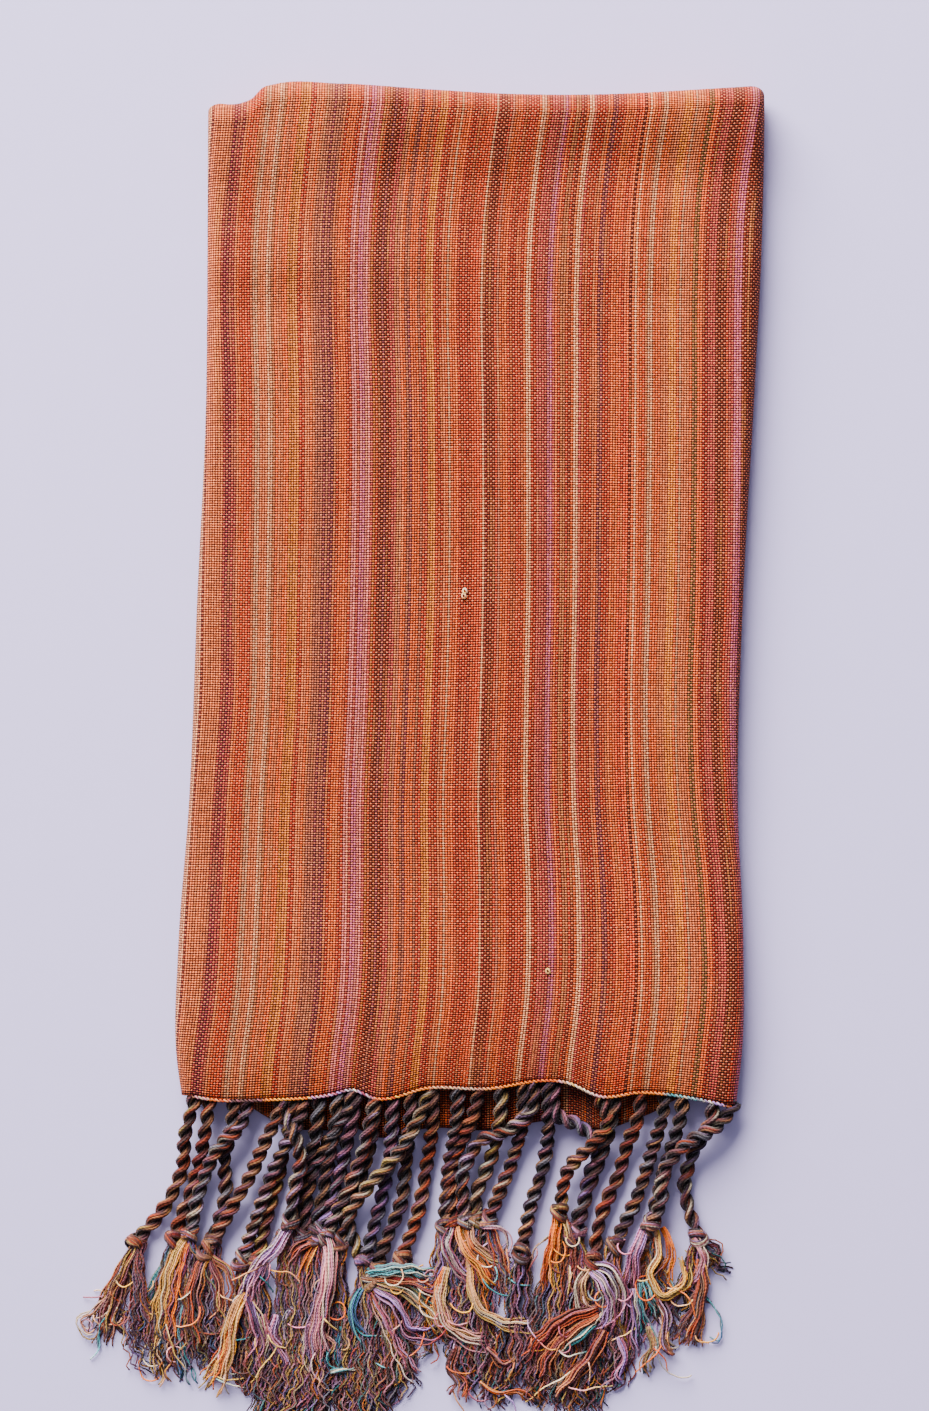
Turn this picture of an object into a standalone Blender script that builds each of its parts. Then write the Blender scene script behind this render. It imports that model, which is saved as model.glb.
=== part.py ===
"""A handwoven scarf, folded flat and lying on its underside.

The cloth is folded in half across and in four along, so eight layers lie on each other. The layer on
top is one thin wall. It rolls over both long sides and goes round the fold at the far end. The hidden
layers are one rounded solid with a groove between them at each edge. The first fold made comes out
from under the hems as a round lip. Each end of the cloth has a twisted fringe, with a knot and four
loose locks on each cord, on a narrow strip along its hem.

Lengths are in millimetres until a mesh is made. X runs across the packet and Y along it, with the hem
at y = 0, and the floor is z = 0. At the end everything is moved so that the origin is under the middle
of the whole.
"""

import math
from collections import namedtuple

import bmesh
import bpy
import numpy as np
from mathutils import Matrix

MM = 0.001

# Cloth
CLOTH_THICK = 1.6
LAYER_GAP = 0.5
CLEAR = CLOTH_THICK + LAYER_GAP

# How the top layer rolls over the packet's edges
SIDE_ROLL = 6.0
FOLD_ROLL = 9.0
SIDE_ROLL_SHARE = 0.45
SIDE_ROLL_END = 90.0
FOLD_ROLL_END = 150.0
ROLL_STEPS = 5
FAR_CORNER_RADIUS = 13.0
STACK_CORNER_RADIUS = 15.0

# The stack stops this much short of the far fold's own clearance
STACK_SET_BACK = 1.6

# Near the far fold the stack's sides draw in to this inset
CORNER_INSET = 2.6
RETREAT_START = 418.0
RETREAT_RUN = 22.0

# The packet's edges and its height, from the hem to the fold at the far end
Section = namedtuple("Section", "along left right height")
SECTIONS = (
    Section(0.0, -134.5, 124.6, 15.5),
    Section(20.0, -137.0, 126.8, 15.5),
    Section(70.0, -136.2, 127.6, 15.5),
    Section(140.0, -131.1, 125.0, 16.0),
    Section(232.0, -127.4, 127.4, 16.5),
    Section(325.0, -123.2, 132.5, 17.0),
    Section(385.0, -122.6, 135.6, 18.5),
    Section(430.0, -122.4, 137.0, 21.5),
    Section(472.0, -122.0, 137.2, 22.5),
)

# The hem is scalloped, because the cords pull it down where they leave it
EdgePoint = namedtuple("EdgePoint", "across along")
HEM = (
    EdgePoint(-134.9, 3.3),
    EdgePoint(-125.5, 0.9),
    EdgePoint(-93.0, 0.0),
    EdgePoint(-65.0, 2.3),
    EdgePoint(-54.9, 4.6),
    EdgePoint(-44.2, 0.6),
    EdgePoint(-18.6, 5.6),
    EdgePoint(4.6, 5.0),
    EdgePoint(46.5, 7.6),
    EdgePoint(60.5, 1.6),
    EdgePoint(79.0, 3.3),
    EdgePoint(107.0, 0.0),
    EdgePoint(123.2, -3.7),
)

# The far fold has a lower step at its left end, where the inner layers stop short
FAR_FOLD = (
    EdgePoint(-122.0, 465.0),
    EdgePoint(-106.0, 465.6),
    EdgePoint(-94.0, 473.0),
    EdgePoint(-60.5, 473.4),
    EdgePoint(-18.6, 470.6),
    EdgePoint(14.0, 468.7),
    EdgePoint(60.5, 468.3),
    EdgePoint(107.0, 470.6),
    EdgePoint(137.0, 472.4),
)

# How far the first fold comes out from under the hem
LipPoint = namedtuple("LipPoint", "across reach")
LIP = (
    LipPoint(-135.0, 0.0),
    LipPoint(-104.0, 0.0),
    LipPoint(-80.0, 10.0),
    LipPoint(-46.0, 19.0),
    LipPoint(-33.0, 19.5),
    LipPoint(-16.0, 20.0),
    LipPoint(60.0, 17.0),
    LipPoint(84.0, 11.0),
    LipPoint(102.0, 0.0),
    LipPoint(125.0, 0.0),
)

# Soft troughs where the cloth sinks behind the far fold and between its layers
Trough = namedtuple("Trough", "across along half_width half_length depth")
TROUGHS = (
    Trough(-32.0, 436.0, 11.0, 22.0, 2.4),
    Trough(60.0, 444.0, 22.0, 14.0, 2.2),
    Trough(-88.0, 420.0, 9.0, 30.0, 1.2),
    Trough(104.0, 400.0, 10.0, 34.0, 0.9),
    Trough(-10.0, 250.0, 50.0, 40.0, 0.5),
    Trough(-60.0, 90.0, 46.0, 34.0, 0.5),
)

# The stack's edge under the top layer, from its top down. Turns go round each roll, and hem levels are
# shares of the packet's height.
UnderStep = namedtuple("UnderStep", "side_turn fold_turn hem_level hem_inset")
UNDER_PANEL = (
    UnderStep(0.0, 0.0, 0.87, 1.0),
    UnderStep(30.0, 22.0, 0.83, 0.3),
    UnderStep(60.0, 44.0, 0.75, 0.3),
    UnderStep(90.0, 66.0, 0.72, 2.2),
)

# The stack's edge below the top layer's roll, from a groove down to the foot. Lip is the share of the
# first fold's reach that the hem side goes out.
EdgeStep = namedtuple("EdgeStep", "side_level side_inset fold_turn hem_level hem_inset lip")
EDGE_STEPS = (
    EdgeStep(0.49, 3.6, 80.0, 0.68, 0.3, 0.0),
    EdgeStep(0.44, 1.0, 96.0, 0.55, 0.3, 0.0),
    EdgeStep(0.33, 0.6, 110.0, 0.50, 0.6, 0.0),
    EdgeStep(0.27, 1.1, 122.0, 0.47, 4.0, 1.0),
    EdgeStep(0.24, 3.2, 133.0, 0.41, 1.1, 1.0),
    EdgeStep(0.19, 0.9, 142.0, 0.24, 0.0, 1.0),
    EdgeStep(0.08, 0.5, 150.0, 0.06, 1.1, 1.0),
)
SIDE_FOOT_INSET = 1.8
HEM_FOOT_INSET = 3.6

# Mesh density. The shares crowd towards the corners, which are arcs.
CORNER_SHARES = (0.0, 0.018, 0.05)
ACROSS_CELLS = 22
ALONG_CELLS = 12

# Fringe strips, one along the hem of each end of the cloth
STRIP_DEPTH = 3.0
STRIP_GAP = 0.6
STRIP_END = 2.0
STRIP_STEP = 6.0
Strip = namedtuple("Strip", "name low high")
STRIPS = (
    Strip("fringe_upper_end", 12.0, 15.0),
    Strip("fringe_lower_end", 8.3, 11.3),
)

# Cords and their tassels: where each leaves the hem, where it is 37 mm on, its knot and its tassel's end
ROOT_WIDTH = 4.6
KNOT_WIDTH = 7.4
BEND_ALONG = -37.0
Cord = namedtuple("Cord", "strip root bend knot_across knot_along tip_across tip_along")
UPPER, LOWER = 0, 1
CORDS = (
    Cord(UPPER, -128.8, -136.7, -156.7, -68.4, -175.8, -117.2),
    Cord(LOWER, -121.4, -130.0, -144.2, -65.1, -162.8, -132.5),
    Cord(UPPER, -104.2, -123.2, -134.0, -63.7, -150.7, -135.8),
    Cord(LOWER, -96.7, -114.9, -124.6, -67.4, -138.6, -139.5),
    Cord(UPPER, -89.3, -105.1, -115.3, -72.5, -127.0, -125.6),
    Cord(LOWER, -81.8, -97.5, -107.3, -75.3, -115.3, -143.2),
    Cord(LOWER, -74.4, -90.2, -98.5, -77.2, -103.7, -151.0),
    Cord(UPPER, -67.0, -81.2, -86.4, -58.6, -92.6, -147.9),
    Cord(LOWER, -59.0, -73.3, -77.7, -62.3, -81.8, -153.5),
    Cord(LOWER, -51.6, -62.8, -67.4, -66.5, -71.2, -132.5),
    Cord(UPPER, -43.7, -54.9, -57.7, -61.4, -60.0, -151.0),
    Cord(UPPER, -18.6, -44.6, -47.4, -86.0, -48.4, -147.9),
    Cord(LOWER, -11.2, -30.2, -37.7, -75.3, -36.9, -153.5),
    Cord(LOWER, -3.7, -21.4, -27.6, -76.3, -25.6, -146.5),
    Cord(UPPER, 4.6, -10.9, -17.2, -60.5, -14.0, -151.0),
    Cord(LOWER, 23.3, -2.8, -7.6, -61.4, -2.6, -113.9),
    Cord(LOWER, 30.7, 5.3, 2.0, -62.3, 9.1, -153.5),
    Cord(UPPER, 38.1, 16.7, 12.3, -63.2, 20.9, -144.2),
    Cord(LOWER, 45.6, 32.1, 24.8, -73.5, 33.0, -132.5),
    Cord(UPPER, 60.9, 44.6, 39.6, -53.0, 45.0, -102.3),
    Cord(LOWER, 68.4, 55.3, 50.7, -56.7, 56.7, -139.5),
    Cord(LOWER, 80.9, 69.3, 61.4, -66.0, 68.4, -113.9),
    Cord(UPPER, 92.1, 80.9, 71.9, -65.1, 79.2, -120.9),
    Cord(LOWER, 103.5, 89.9, 84.9, -56.7, 90.2, -107.0),
    Cord(UPPER, 113.4, 101.2, 104.6, -63.7, 101.6, -119.0),
)

# The height of a cord's middle at each distance out of its strip: over the lip, then down to the floor
Drop = namedtuple("Drop", "out height half")
DROPS = (
    Drop(3.6, 11.0, 2.3),
    Drop(11.0, 11.4, 2.7),
    Drop(17.5, 10.8, 2.7),
    Drop(27.0, 6.8, 2.7),
    Drop(37.0, 3.7, 2.7),
)
KNOT_RUN = 9.0

LOCKS = 4
LOCK_FAN = 10.0
LOCK_WIDTH = 1.75
LOCK_ROOT_HEIGHT = 3.0
FLOOR_CLEAR = 0.5
TIP_WIDTH = 1.0
TIP_HEIGHT = 1.0
LENGTH_SHIFTS = (0.0, 5.0, -4.0, 2.0, -6.0, 3.5, -2.0)


def smooth(table, column, where):
    """One column of a table, read from a smooth curve through its rows."""
    key = np.array([row[0] for row in table])
    value = np.array([getattr(row, column) for row in table])
    slope = np.gradient(value, key)
    where = np.clip(where, key[0], key[-1])
    i = np.clip(np.searchsorted(key, where) - 1, 0, len(key) - 2)
    span = key[i + 1] - key[i]
    t = (where - key[i]) / span
    near = (1 + 2 * t) * (1 - t) ** 2 * value[i] + t * (1 - t) ** 2 * span * slope[i]
    far = t * t * (3 - 2 * t) * value[i + 1] - t * t * (1 - t) * span * slope[i + 1]
    return near + far


def top_height(across, along):
    """The height of the packet's top, with its troughs."""
    height = smooth(SECTIONS, "height", along)
    for trough in TROUGHS:
        off = ((across - trough.across) / trough.half_width) ** 2
        off = off + ((along - trough.along) / trough.half_length) ** 2
        height = height - trough.depth * np.exp(-off)
    return height


def shares(cells):
    """Shares from 0 to 1, crowded at both ends."""
    start = list(CORNER_SHARES)
    middle = np.linspace(start[-1], 1 - start[-1], cells + 1)[1:-1]
    return np.array(start + list(middle) + [1 - s for s in reversed(start)])


U = shares(ACROSS_CELLS)
V = shares(ALONG_CELLS)
HEM_LEFT, HEM_RIGHT = 0, len(U) - 1
FAR_RIGHT = HEM_RIGHT + len(V) - 1
FAR_LEFT = FAR_RIGHT + len(U) - 1
LOOP = FAR_LEFT + len(V) - 1


def between(a, b, share):
    return a + (b - a) * share


def far_share(along):
    """How close a place along the side is to the far fold, from 0 to 1."""
    return float(np.clip((along - RETREAT_START) / RETREAT_RUN, 0.0, 1.0))


def ring_places(side, fold, hem, lip=0.0, corner=FAR_CORNER_RADIUS, retreat=0.0):
    """One loop round the packet, anticlockwise from the hem's left corner, inset from its three edges.

    Lip is the share of the first fold's reach that the loop goes out past the hem. Retreat is how far
    the sides draw in near the far fold, where the top layer comes round the corner.
    """
    near = [between(SECTIONS[0].left + side, SECTIONS[0].right - side, u) for u in U]
    near = [(x, smooth(HEM, "along", x) + hem - lip * smooth(LIP, "reach", x)) for x in near]
    far = [between(FAR_FOLD[0].across + side, FAR_FOLD[-1].across - side, u) for u in U]
    far = [(x, smooth(FAR_FOLD, "along", x) - fold) for x in far]
    right = [between(near[-1][1], far[-1][1], v) for v in V]
    right = [(smooth(SECTIONS, "right", y) - side - retreat * far_share(y), y) for y in right]
    left = [between(near[0][1], far[0][1], v) for v in V]
    left = [(smooth(SECTIONS, "left", y) + side + retreat * far_share(y), y) for y in left]
    loop = near + right[1:] + far[::-1][1:] + left[::-1][1:-1]
    radius = corner - min(side, fold)
    return np.array([round_corner(np.array(p, float), loop, radius) for p in loop])


def corner_turn(distance, radius):
    """How far round a corner's arc a point goes that starts this far from the square corner."""
    return math.pi / 4 * (1 + min(1.0, distance / radius))


def round_corner(place, loop, radius):
    """Moves a point that is near a far corner onto the corner's arc."""
    for corner, way in ((loop[FAR_RIGHT], -1), (loop[FAR_LEFT], 1)):
        away = np.array([way * (place[0] - corner[0]), corner[1] - place[1]])
        distance = max(away)
        if distance < radius:
            turn = corner_turn(distance, radius)
            arc = radius * (1 - np.array([math.cos(turn), math.sin(turn)]))
            if away[1] > away[0]:
                arc = arc[::-1]
            return np.array(corner, float) + np.array([way * arc[0], -arc[1]])
    return place


def edge_shares():
    """How much each point of the loop belongs to a side, to the far fold and to the hem."""
    fold = np.zeros(LOOP)
    fold[FAR_RIGHT : FAR_LEFT + 1] = 1.0
    hem = np.zeros(LOOP)
    hem[HEM_LEFT : HEM_RIGHT + 1] = 1.0
    hem[[HEM_LEFT, HEM_RIGHT]] = 0.5
    width = FAR_FOLD[-1].across - FAR_FOLD[0].across
    length = FAR_FOLD[0].along
    for i in range(3):
        on_fold = math.sin(corner_turn(CORNER_SHARES[i] * width, FAR_CORNER_RADIUS)) ** 2
        on_side = math.cos(corner_turn(CORNER_SHARES[i] * length, FAR_CORNER_RADIUS)) ** 2
        fold[[FAR_RIGHT + i, FAR_LEFT - i]] = on_fold
        fold[[FAR_RIGHT - i, FAR_LEFT + i]] = on_side if i else on_fold
    return 1 - fold - hem, fold, hem


def side_loops(loop):
    """The loop's hem, right side, far fold and left side, each running up or to the right."""
    hem = loop[: HEM_RIGHT + 1]
    right = loop[HEM_RIGHT : FAR_RIGHT + 1]
    far = loop[FAR_RIGHT : FAR_LEFT + 1][::-1]
    left = np.concatenate([loop[FAR_LEFT:], loop[:1]])[::-1]
    return hem, right, far, left


def fill_patch(loop):
    """A grid of points inside a loop, blended from its four sides. It has a row for each V."""
    hem, right, far, left = side_loops(loop)
    grid = np.zeros((len(V), len(U), 2))
    for j, v in enumerate(V):
        for i, u in enumerate(U):
            sides = (1 - v) * hem[i] + v * far[i] + (1 - u) * left[j] + u * right[j]
            near = (1 - u) * hem[0] + u * hem[-1]
            away = (1 - u) * far[0] + u * far[-1]
            grid[j, i] = sides - (1 - v) * near - v * away
    return grid


def grid_loop(rows):
    """The outer loop of a grid of vertices, in the outline's order."""
    loop = list(rows[0])
    loop += [row[-1] for row in rows[1:]]
    loop += list(reversed(rows[-1][:-1]))
    loop += [row[0] for row in reversed(rows[1:-1])]
    return loop


def add_grid(bm, grid, heights):
    """The grid's vertices, joined by faces that point up."""
    rows = []
    for points, levels in zip(grid, heights):
        rows.append([bm.verts.new((x, y, z)) for (x, y), z in zip(points, levels)])
    for low, high in zip(rows, rows[1:]):
        for i in range(len(low) - 1):
            bm.faces.new((low[i], low[i + 1], high[i + 1], high[i]))
    return rows


def add_band(bm, above, below, closed=True):
    """Faces between one ring of vertices and the next one down."""
    count = len(above) if closed else len(above) - 1
    for i in range(count):
        j = (i + 1) % len(above)
        bm.faces.new((above[i], below[i], below[j], above[j]))


def fabric(name, colour, roughness):
    """A plain matt material for one piece."""
    material = bpy.data.materials.new(name)
    material.use_nodes = True
    shader = material.node_tree.nodes["Principled BSDF"]
    shader.inputs["Base Color"].default_value = (*colour, 1.0)
    shader.inputs["Roughness"].default_value = roughness
    shader.inputs["Metallic"].default_value = 0.0
    return material


def finish_piece(bm, name, material):
    """The mesh, in metres and smooth, as a named object of the scene."""
    bmesh.ops.recalc_face_normals(bm, faces=bm.faces)
    bmesh.ops.scale(bm, vec=(MM, MM, MM), verts=bm.verts)
    mesh = bpy.data.meshes.new(name)
    bm.to_mesh(mesh)
    bm.free()
    mesh.shade_smooth()
    mesh.set_sharp_from_angle(angle=math.radians(50))
    mesh.materials.append(material)
    piece = bpy.data.objects.new(name, mesh)
    bpy.context.scene.collection.objects.link(piece)
    return piece


def make_top_panel():
    """The layer on top: a patch over the packet, with a roll on three sides and a cut edge at the hem."""
    outer = ring_places(0.0, 0.0, 0.0)
    start = ring_places(SIDE_ROLL, FOLD_ROLL, 0.0)
    grid = fill_patch(start)
    bm = bmesh.new()
    edge = grid_loop(add_grid(bm, grid, top_height(grid[..., 0], grid[..., 1])))
    order = list(range(HEM_RIGHT, LOOP)) + [HEM_LEFT]
    above = [edge[i] for i in order]
    height = top_height(start[:, 0], start[:, 1])
    fold_share = edge_shares()[1]
    share = between(SIDE_ROLL_SHARE, 0.5, fold_share)
    end = np.radians(between(SIDE_ROLL_END, FOLD_ROLL_END, fold_share))
    for step in range(1, ROLL_STEPS + 1):
        turn = end * step / ROLL_STEPS
        places = outer + (start - outer) * (1 - np.sin(turn))[:, None]
        levels = height * (1 - share + share * np.cos(turn))
        ring = [bm.verts.new((*places[i], levels[i])) for i in order]
        add_band(bm, above, ring, closed=False)
        above = ring
    piece = finish_piece(bm, "top_panel", fabric("handwoven cloth", (0.78, 0.33, 0.17), 0.85))
    wall = piece.modifiers.new("wall", "SOLIDIFY")
    wall.thickness = CLOTH_THICK * MM
    wall.offset = -1.0
    wall.use_even_offset = True
    return piece


def stack_rings():
    """The edge of the hidden layers, from the top ring down to the floor, as places and heights."""
    side_share, fold_share, hem_share = edge_shares()
    corner = STACK_CORNER_RADIUS
    back = FOLD_ROLL + STACK_SET_BACK
    top = ring_places(SIDE_ROLL, back, UNDER_PANEL[0].hem_inset, corner=corner)
    height = top_height(top[:, 0], top[:, 1])

    def roll_inset(roll, turn):
        clear = CLEAR + (STACK_SET_BACK if roll == back else 0.0)
        return roll - (roll - clear) * math.sin(turn)

    def roll_level(share, turn):
        return height * (1 - share) + (height * share - CLEAR) * math.cos(turn)

    def levels(side, fold, hem):
        return side * side_share + fold * fold_share + hem * hem_share

    rings = [(top, height - CLEAR)]
    for step in UNDER_PANEL[1:]:
        turn, fold_turn = math.radians(step.side_turn), math.radians(step.fold_turn)
        insets = roll_inset(SIDE_ROLL, turn), roll_inset(back, fold_turn), step.hem_inset
        side, fold = roll_level(SIDE_ROLL_SHARE, turn), roll_level(0.5, fold_turn)
        places = ring_places(*insets, corner=corner)
        rings.append((places, levels(side, fold, step.hem_level * height)))
    for step in EDGE_STEPS:
        fold_turn = math.radians(step.fold_turn)
        insets = step.side_inset, roll_inset(back, fold_turn), step.hem_inset
        fold = roll_level(0.5, fold_turn)
        level = levels(step.side_level * height, fold, step.hem_level * height)
        retreat = max(0.0, CORNER_INSET - step.side_inset)
        places = ring_places(*insets, lip=step.lip, corner=corner, retreat=retreat)
        rings.append((places, level))
    retreat = CORNER_INSET - SIDE_FOOT_INSET
    foot = ring_places(SIDE_FOOT_INSET, back, HEM_FOOT_INSET, 1.0, corner, retreat)
    rings.append((foot, 0 * height))
    return rings


def make_inner_layers():
    """The seven hidden layers as one rounded solid, grooved between the layers at its edges."""
    rings = stack_rings()
    grid = fill_patch(rings[0][0])
    heights = top_height(grid[..., 0], grid[..., 1]) - CLEAR
    bm = bmesh.new()
    above = grid_loop(add_grid(bm, grid, heights))
    for places, levels in rings[1:]:
        ring = [bm.verts.new((x, y, z)) for (x, y), z in zip(places, levels)]
        add_band(bm, above, ring)
        above = ring
    bm.faces.new(above)
    return finish_piece(bm, "inner_layers", fabric("folded layers", (0.55, 0.24, 0.15), 0.9))


def add_ring(bm, across, along, height, half_width, half_height):
    """Four corners of a strand at one place: low left, low right, high right, high left."""
    corners = ((-1, -1), (1, -1), (1, 1), (-1, 1))
    place = [(across + half_width * i, along, height + half_height * k) for i, k in corners]
    return [bm.verts.new(p) for p in place]


def strip_front(across):
    """Where the face that the cords leave is along the packet."""
    hem = ring_places(SIDE_ROLL, FOLD_ROLL, 0.0)[: HEM_RIGHT + 1]
    return float(np.interp(across, hem[:, 0], hem[:, 1])) - STRIP_GAP - STRIP_DEPTH


def cord_place(cord, along):
    """Where the middle of a cord is across the packet, at a place along it."""
    root_along = strip_front(cord.root)
    if along > BEND_ALONG:
        share = (root_along - along) / (root_along - BEND_ALONG)
        return cord.root + (cord.bend - cord.root) * share ** 1.15
    share = (along - BEND_ALONG) / (cord.knot_along - BEND_ALONG)
    return cord.bend + (cord.knot_across - cord.bend) * share


def add_cord(bm, cord, root):
    """A cord out of its strip's face, over the lip and down to the floor, ending in its knot."""
    ring = root
    for drop in DROPS:
        along = strip_front(cord.root) - drop.out
        if along < cord.knot_along + KNOT_RUN:
            break
        following = add_ring(bm, cord_place(cord, along), along, drop.height, drop.half, drop.half)
        add_band(bm, ring, following)
        ring = following
    knot = KNOT_WIDTH / 2
    for back, size in ((5.0, 0.8), (2.5, 1.0), (-1.0, 1.0)):
        along = cord.knot_along + back
        height = FLOOR_CLEAR + knot * size
        across = cord_place(cord, along)
        following = add_ring(bm, across, along, height, knot * size, knot * size)
        add_band(bm, ring, following)
        ring = following
    return ring


def add_tassel(bm, cord, ring, number):
    """The locks below a knot. They share its end, and fan apart from there."""
    along = cord.knot_along - 4.5
    width = KNOT_WIDTH * 0.95
    lefts = cord.knot_across - width / 2 + width * np.arange(LOCKS + 1) / LOCKS
    low = [bm.verts.new((x, along, FLOOR_CLEAR)) for x in lefts]
    high = [bm.verts.new((x, along, FLOOR_CLEAR + LOCK_ROOT_HEIGHT)) for x in lefts]
    bm.faces.new([ring[0], ring[1]] + low[::-1])
    bm.faces.new([ring[2], ring[3]] + high)
    bm.faces.new((ring[3], ring[0], low[0], high[0]))
    bm.faces.new((ring[1], ring[2], high[-1], low[-1]))
    for k in range(LOCKS):
        strand = [low[k], low[k + 1], high[k + 1], high[k]]
        shift = LENGTH_SHIFTS[(number * LOCKS + k) % len(LENGTH_SHIFTS)]
        end = cord.tip_along + shift
        spread = (k + 0.5) / LOCKS - 0.5
        for share in (0.35, 0.7, 1.0):
            y = along + (end - along) * share
            run = (y - cord.knot_along) / (cord.tip_along - cord.knot_along)
            middle = cord.knot_across + (cord.tip_across - cord.knot_across) * run
            fan = width + (LOCK_FAN - width) * run
            half_width = (LOCK_WIDTH + (TIP_WIDTH - LOCK_WIDTH) * share ** 3) / 2
            half_height = (LOCK_ROOT_HEIGHT + (TIP_HEIGHT - LOCK_ROOT_HEIGHT) * share) / 2
            height = FLOOR_CLEAR + half_height
            following = add_ring(bm, middle + fan * spread, y, height, half_width, half_height)
            add_band(bm, strand, following)
            strand = following
        bm.faces.new(strand)


def make_fringe(index):
    """One end's fringe: a narrow strip outside its hem, and its cords and tassels."""
    strip = STRIPS[index]
    cords = [(n, cord) for n, cord in enumerate(CORDS) if cord.strip == index]
    half = ROOT_WIDTH / 2
    roots = {cord.root - half: (number, cord) for number, cord in cords}
    edges = [cords[0][1].root - half - STRIP_END]
    edges += [cord.root + side for _, cord in cords for side in (-half, half)]
    edges.append(cords[-1][1].root + half + STRIP_END)
    columns = edges[:1]
    for x, following in zip(edges, edges[1:]):
        steps = 1 if x in roots else math.ceil((following - x) / STRIP_STEP)
        columns += [x + (following - x) * (k + 1) / steps for k in range(steps)]

    bm = bmesh.new()
    posts = []
    for x in columns:
        front = strip_front(x)
        back = front + STRIP_DEPTH
        corners = ((front, strip.low), (front, strip.high), (back, strip.high), (back, strip.low))
        posts.append([bm.verts.new((x, y, z)) for y, z in corners])
    for k, (left, right) in enumerate(zip(posts, posts[1:])):
        for i in range(1, 4):
            j = (i + 1) % 4
            bm.faces.new((left[i], right[i], right[j], left[j]))
        if columns[k] in roots:
            number, cord = roots[columns[k]]
            root = [left[0], right[0], right[1], left[1]]
            add_tassel(bm, cord, add_cord(bm, cord, root), number)
        else:
            bm.faces.new((left[0], right[0], right[1], left[1]))
    bm.faces.new(posts[0])
    bm.faces.new(posts[-1])
    colour = ((0.80, 0.42, 0.30), (0.45, 0.20, 0.17))[index]
    return finish_piece(bm, strip.name, fabric(f"yarn of {strip.name}", colour, 0.9))


def stand_on_origin(pieces):
    """Moves everything so that the origin is under the middle of the whole."""
    places = np.array([v.co for piece in pieces for v in piece.data.vertices])
    middle = (places.min(axis=0) + places.max(axis=0)) / 2
    for piece in pieces:
        piece.data.transform(Matrix.Translation((-middle[0], -middle[1], 0.0)))


def main():
    for old in list(bpy.data.objects):
        bpy.data.objects.remove(old)
    pieces = [make_top_panel(), make_inner_layers()]
    pieces += [make_fringe(index) for index in range(len(STRIPS))]
    stand_on_origin(pieces)


main()
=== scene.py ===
"""The looks of a folded handwoven scarf: its woven cloth, twisted cords, knots and loose tassels.

Shapes are in millimetres in the packet's own frame, with the middle of the packet at x = 0, the hem at
y = 0 and the floor at z = 0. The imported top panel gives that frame's place in the world.
"""

import math
from collections import namedtuple

import bpy
import numpy as np
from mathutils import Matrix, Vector


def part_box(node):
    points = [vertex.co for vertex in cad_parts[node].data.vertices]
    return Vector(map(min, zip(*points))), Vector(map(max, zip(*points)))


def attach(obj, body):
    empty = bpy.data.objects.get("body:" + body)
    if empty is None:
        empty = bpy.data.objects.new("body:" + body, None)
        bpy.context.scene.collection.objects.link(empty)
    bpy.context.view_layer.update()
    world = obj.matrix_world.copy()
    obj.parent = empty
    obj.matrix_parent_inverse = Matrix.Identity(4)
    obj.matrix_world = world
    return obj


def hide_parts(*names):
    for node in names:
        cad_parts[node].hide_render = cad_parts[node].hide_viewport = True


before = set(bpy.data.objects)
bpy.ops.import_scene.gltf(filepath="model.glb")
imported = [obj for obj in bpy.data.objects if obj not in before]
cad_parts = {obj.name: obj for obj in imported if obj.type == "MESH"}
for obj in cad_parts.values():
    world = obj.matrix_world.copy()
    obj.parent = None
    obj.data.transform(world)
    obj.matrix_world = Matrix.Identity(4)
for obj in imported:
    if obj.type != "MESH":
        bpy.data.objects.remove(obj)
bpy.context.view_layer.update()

MM = 0.001
PANEL_RIGHT = 137.2
PANEL_FAR = 473.4
panel_high = np.array(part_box("top_panel")[1])
ORIGIN = np.array([panel_high[0] - PANEL_RIGHT * MM, panel_high[1] - PANEL_FAR * MM, 0.0])
random = np.random.default_rng(7)

# The photo's scale, and the place in it of the packet's origin
PIXEL = 0.465
ORIGIN_PX = np.array([470.0, 1100.0])
PHOTO_SIZE = (929, 1411)

# The packet's sides, as in the solids, and its height, which dips behind the puffed far fold
Section = namedtuple("Section", "along left right")
SECTIONS = [Section(*row) for row in (
    (0.0, -134.5, 124.6), (20.0, -137.0, 126.8), (70.0, -136.2, 127.6), (140.0, -131.1, 125.0),
    (232.0, -127.4, 127.4), (325.0, -123.2, 132.5), (385.0, -122.6, 135.6), (430.0, -122.4, 137.0),
    (472.0, -122.0, 137.2),
)]
Rise = namedtuple("Rise", "along height")
RISES = [Rise(*row) for row in (
    (0.0, 16.6), (48.0, 17.3), (110.0, 15.4), (160.0, 15.9), (232.0, 16.3), (325.0, 16.8),
    (375.0, 16.4), (392.0, 16.8), (410.0, 16.2), (427.0, 16.5), (444.0, 19.6), (459.0, 22.0),
    (472.0, 22.5),
)]
HEM_FALL = 3.9
HEM_FALL_RUN = 12.0
EdgePoint = namedtuple("EdgePoint", "across along")
HEM = [EdgePoint(*row) for row in (
    (-134.9, 3.3), (-125.5, 0.9), (-93.0, 0.0), (-65.0, 2.3), (-54.9, 4.6), (-44.2, 0.6), (-18.6, 5.6),
    (4.6, 5.0), (46.5, 7.6), (60.5, 1.6), (79.0, 3.3), (107.0, 0.0), (123.2, -3.7),
)]
FAR_FOLD = [EdgePoint(*row) for row in (
    (-122.0, 464.6), (-106.0, 464.8), (-101.5, 466.8), (-97.0, 471.6), (-91.0, 473.4), (-60.5, 473.4),
    (-18.6, 470.6), (14.0, 468.7), (60.5, 468.3), (107.0, 470.6), (137.0, 472.4),
)]
LipPoint = namedtuple("LipPoint", "across reach")
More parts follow.
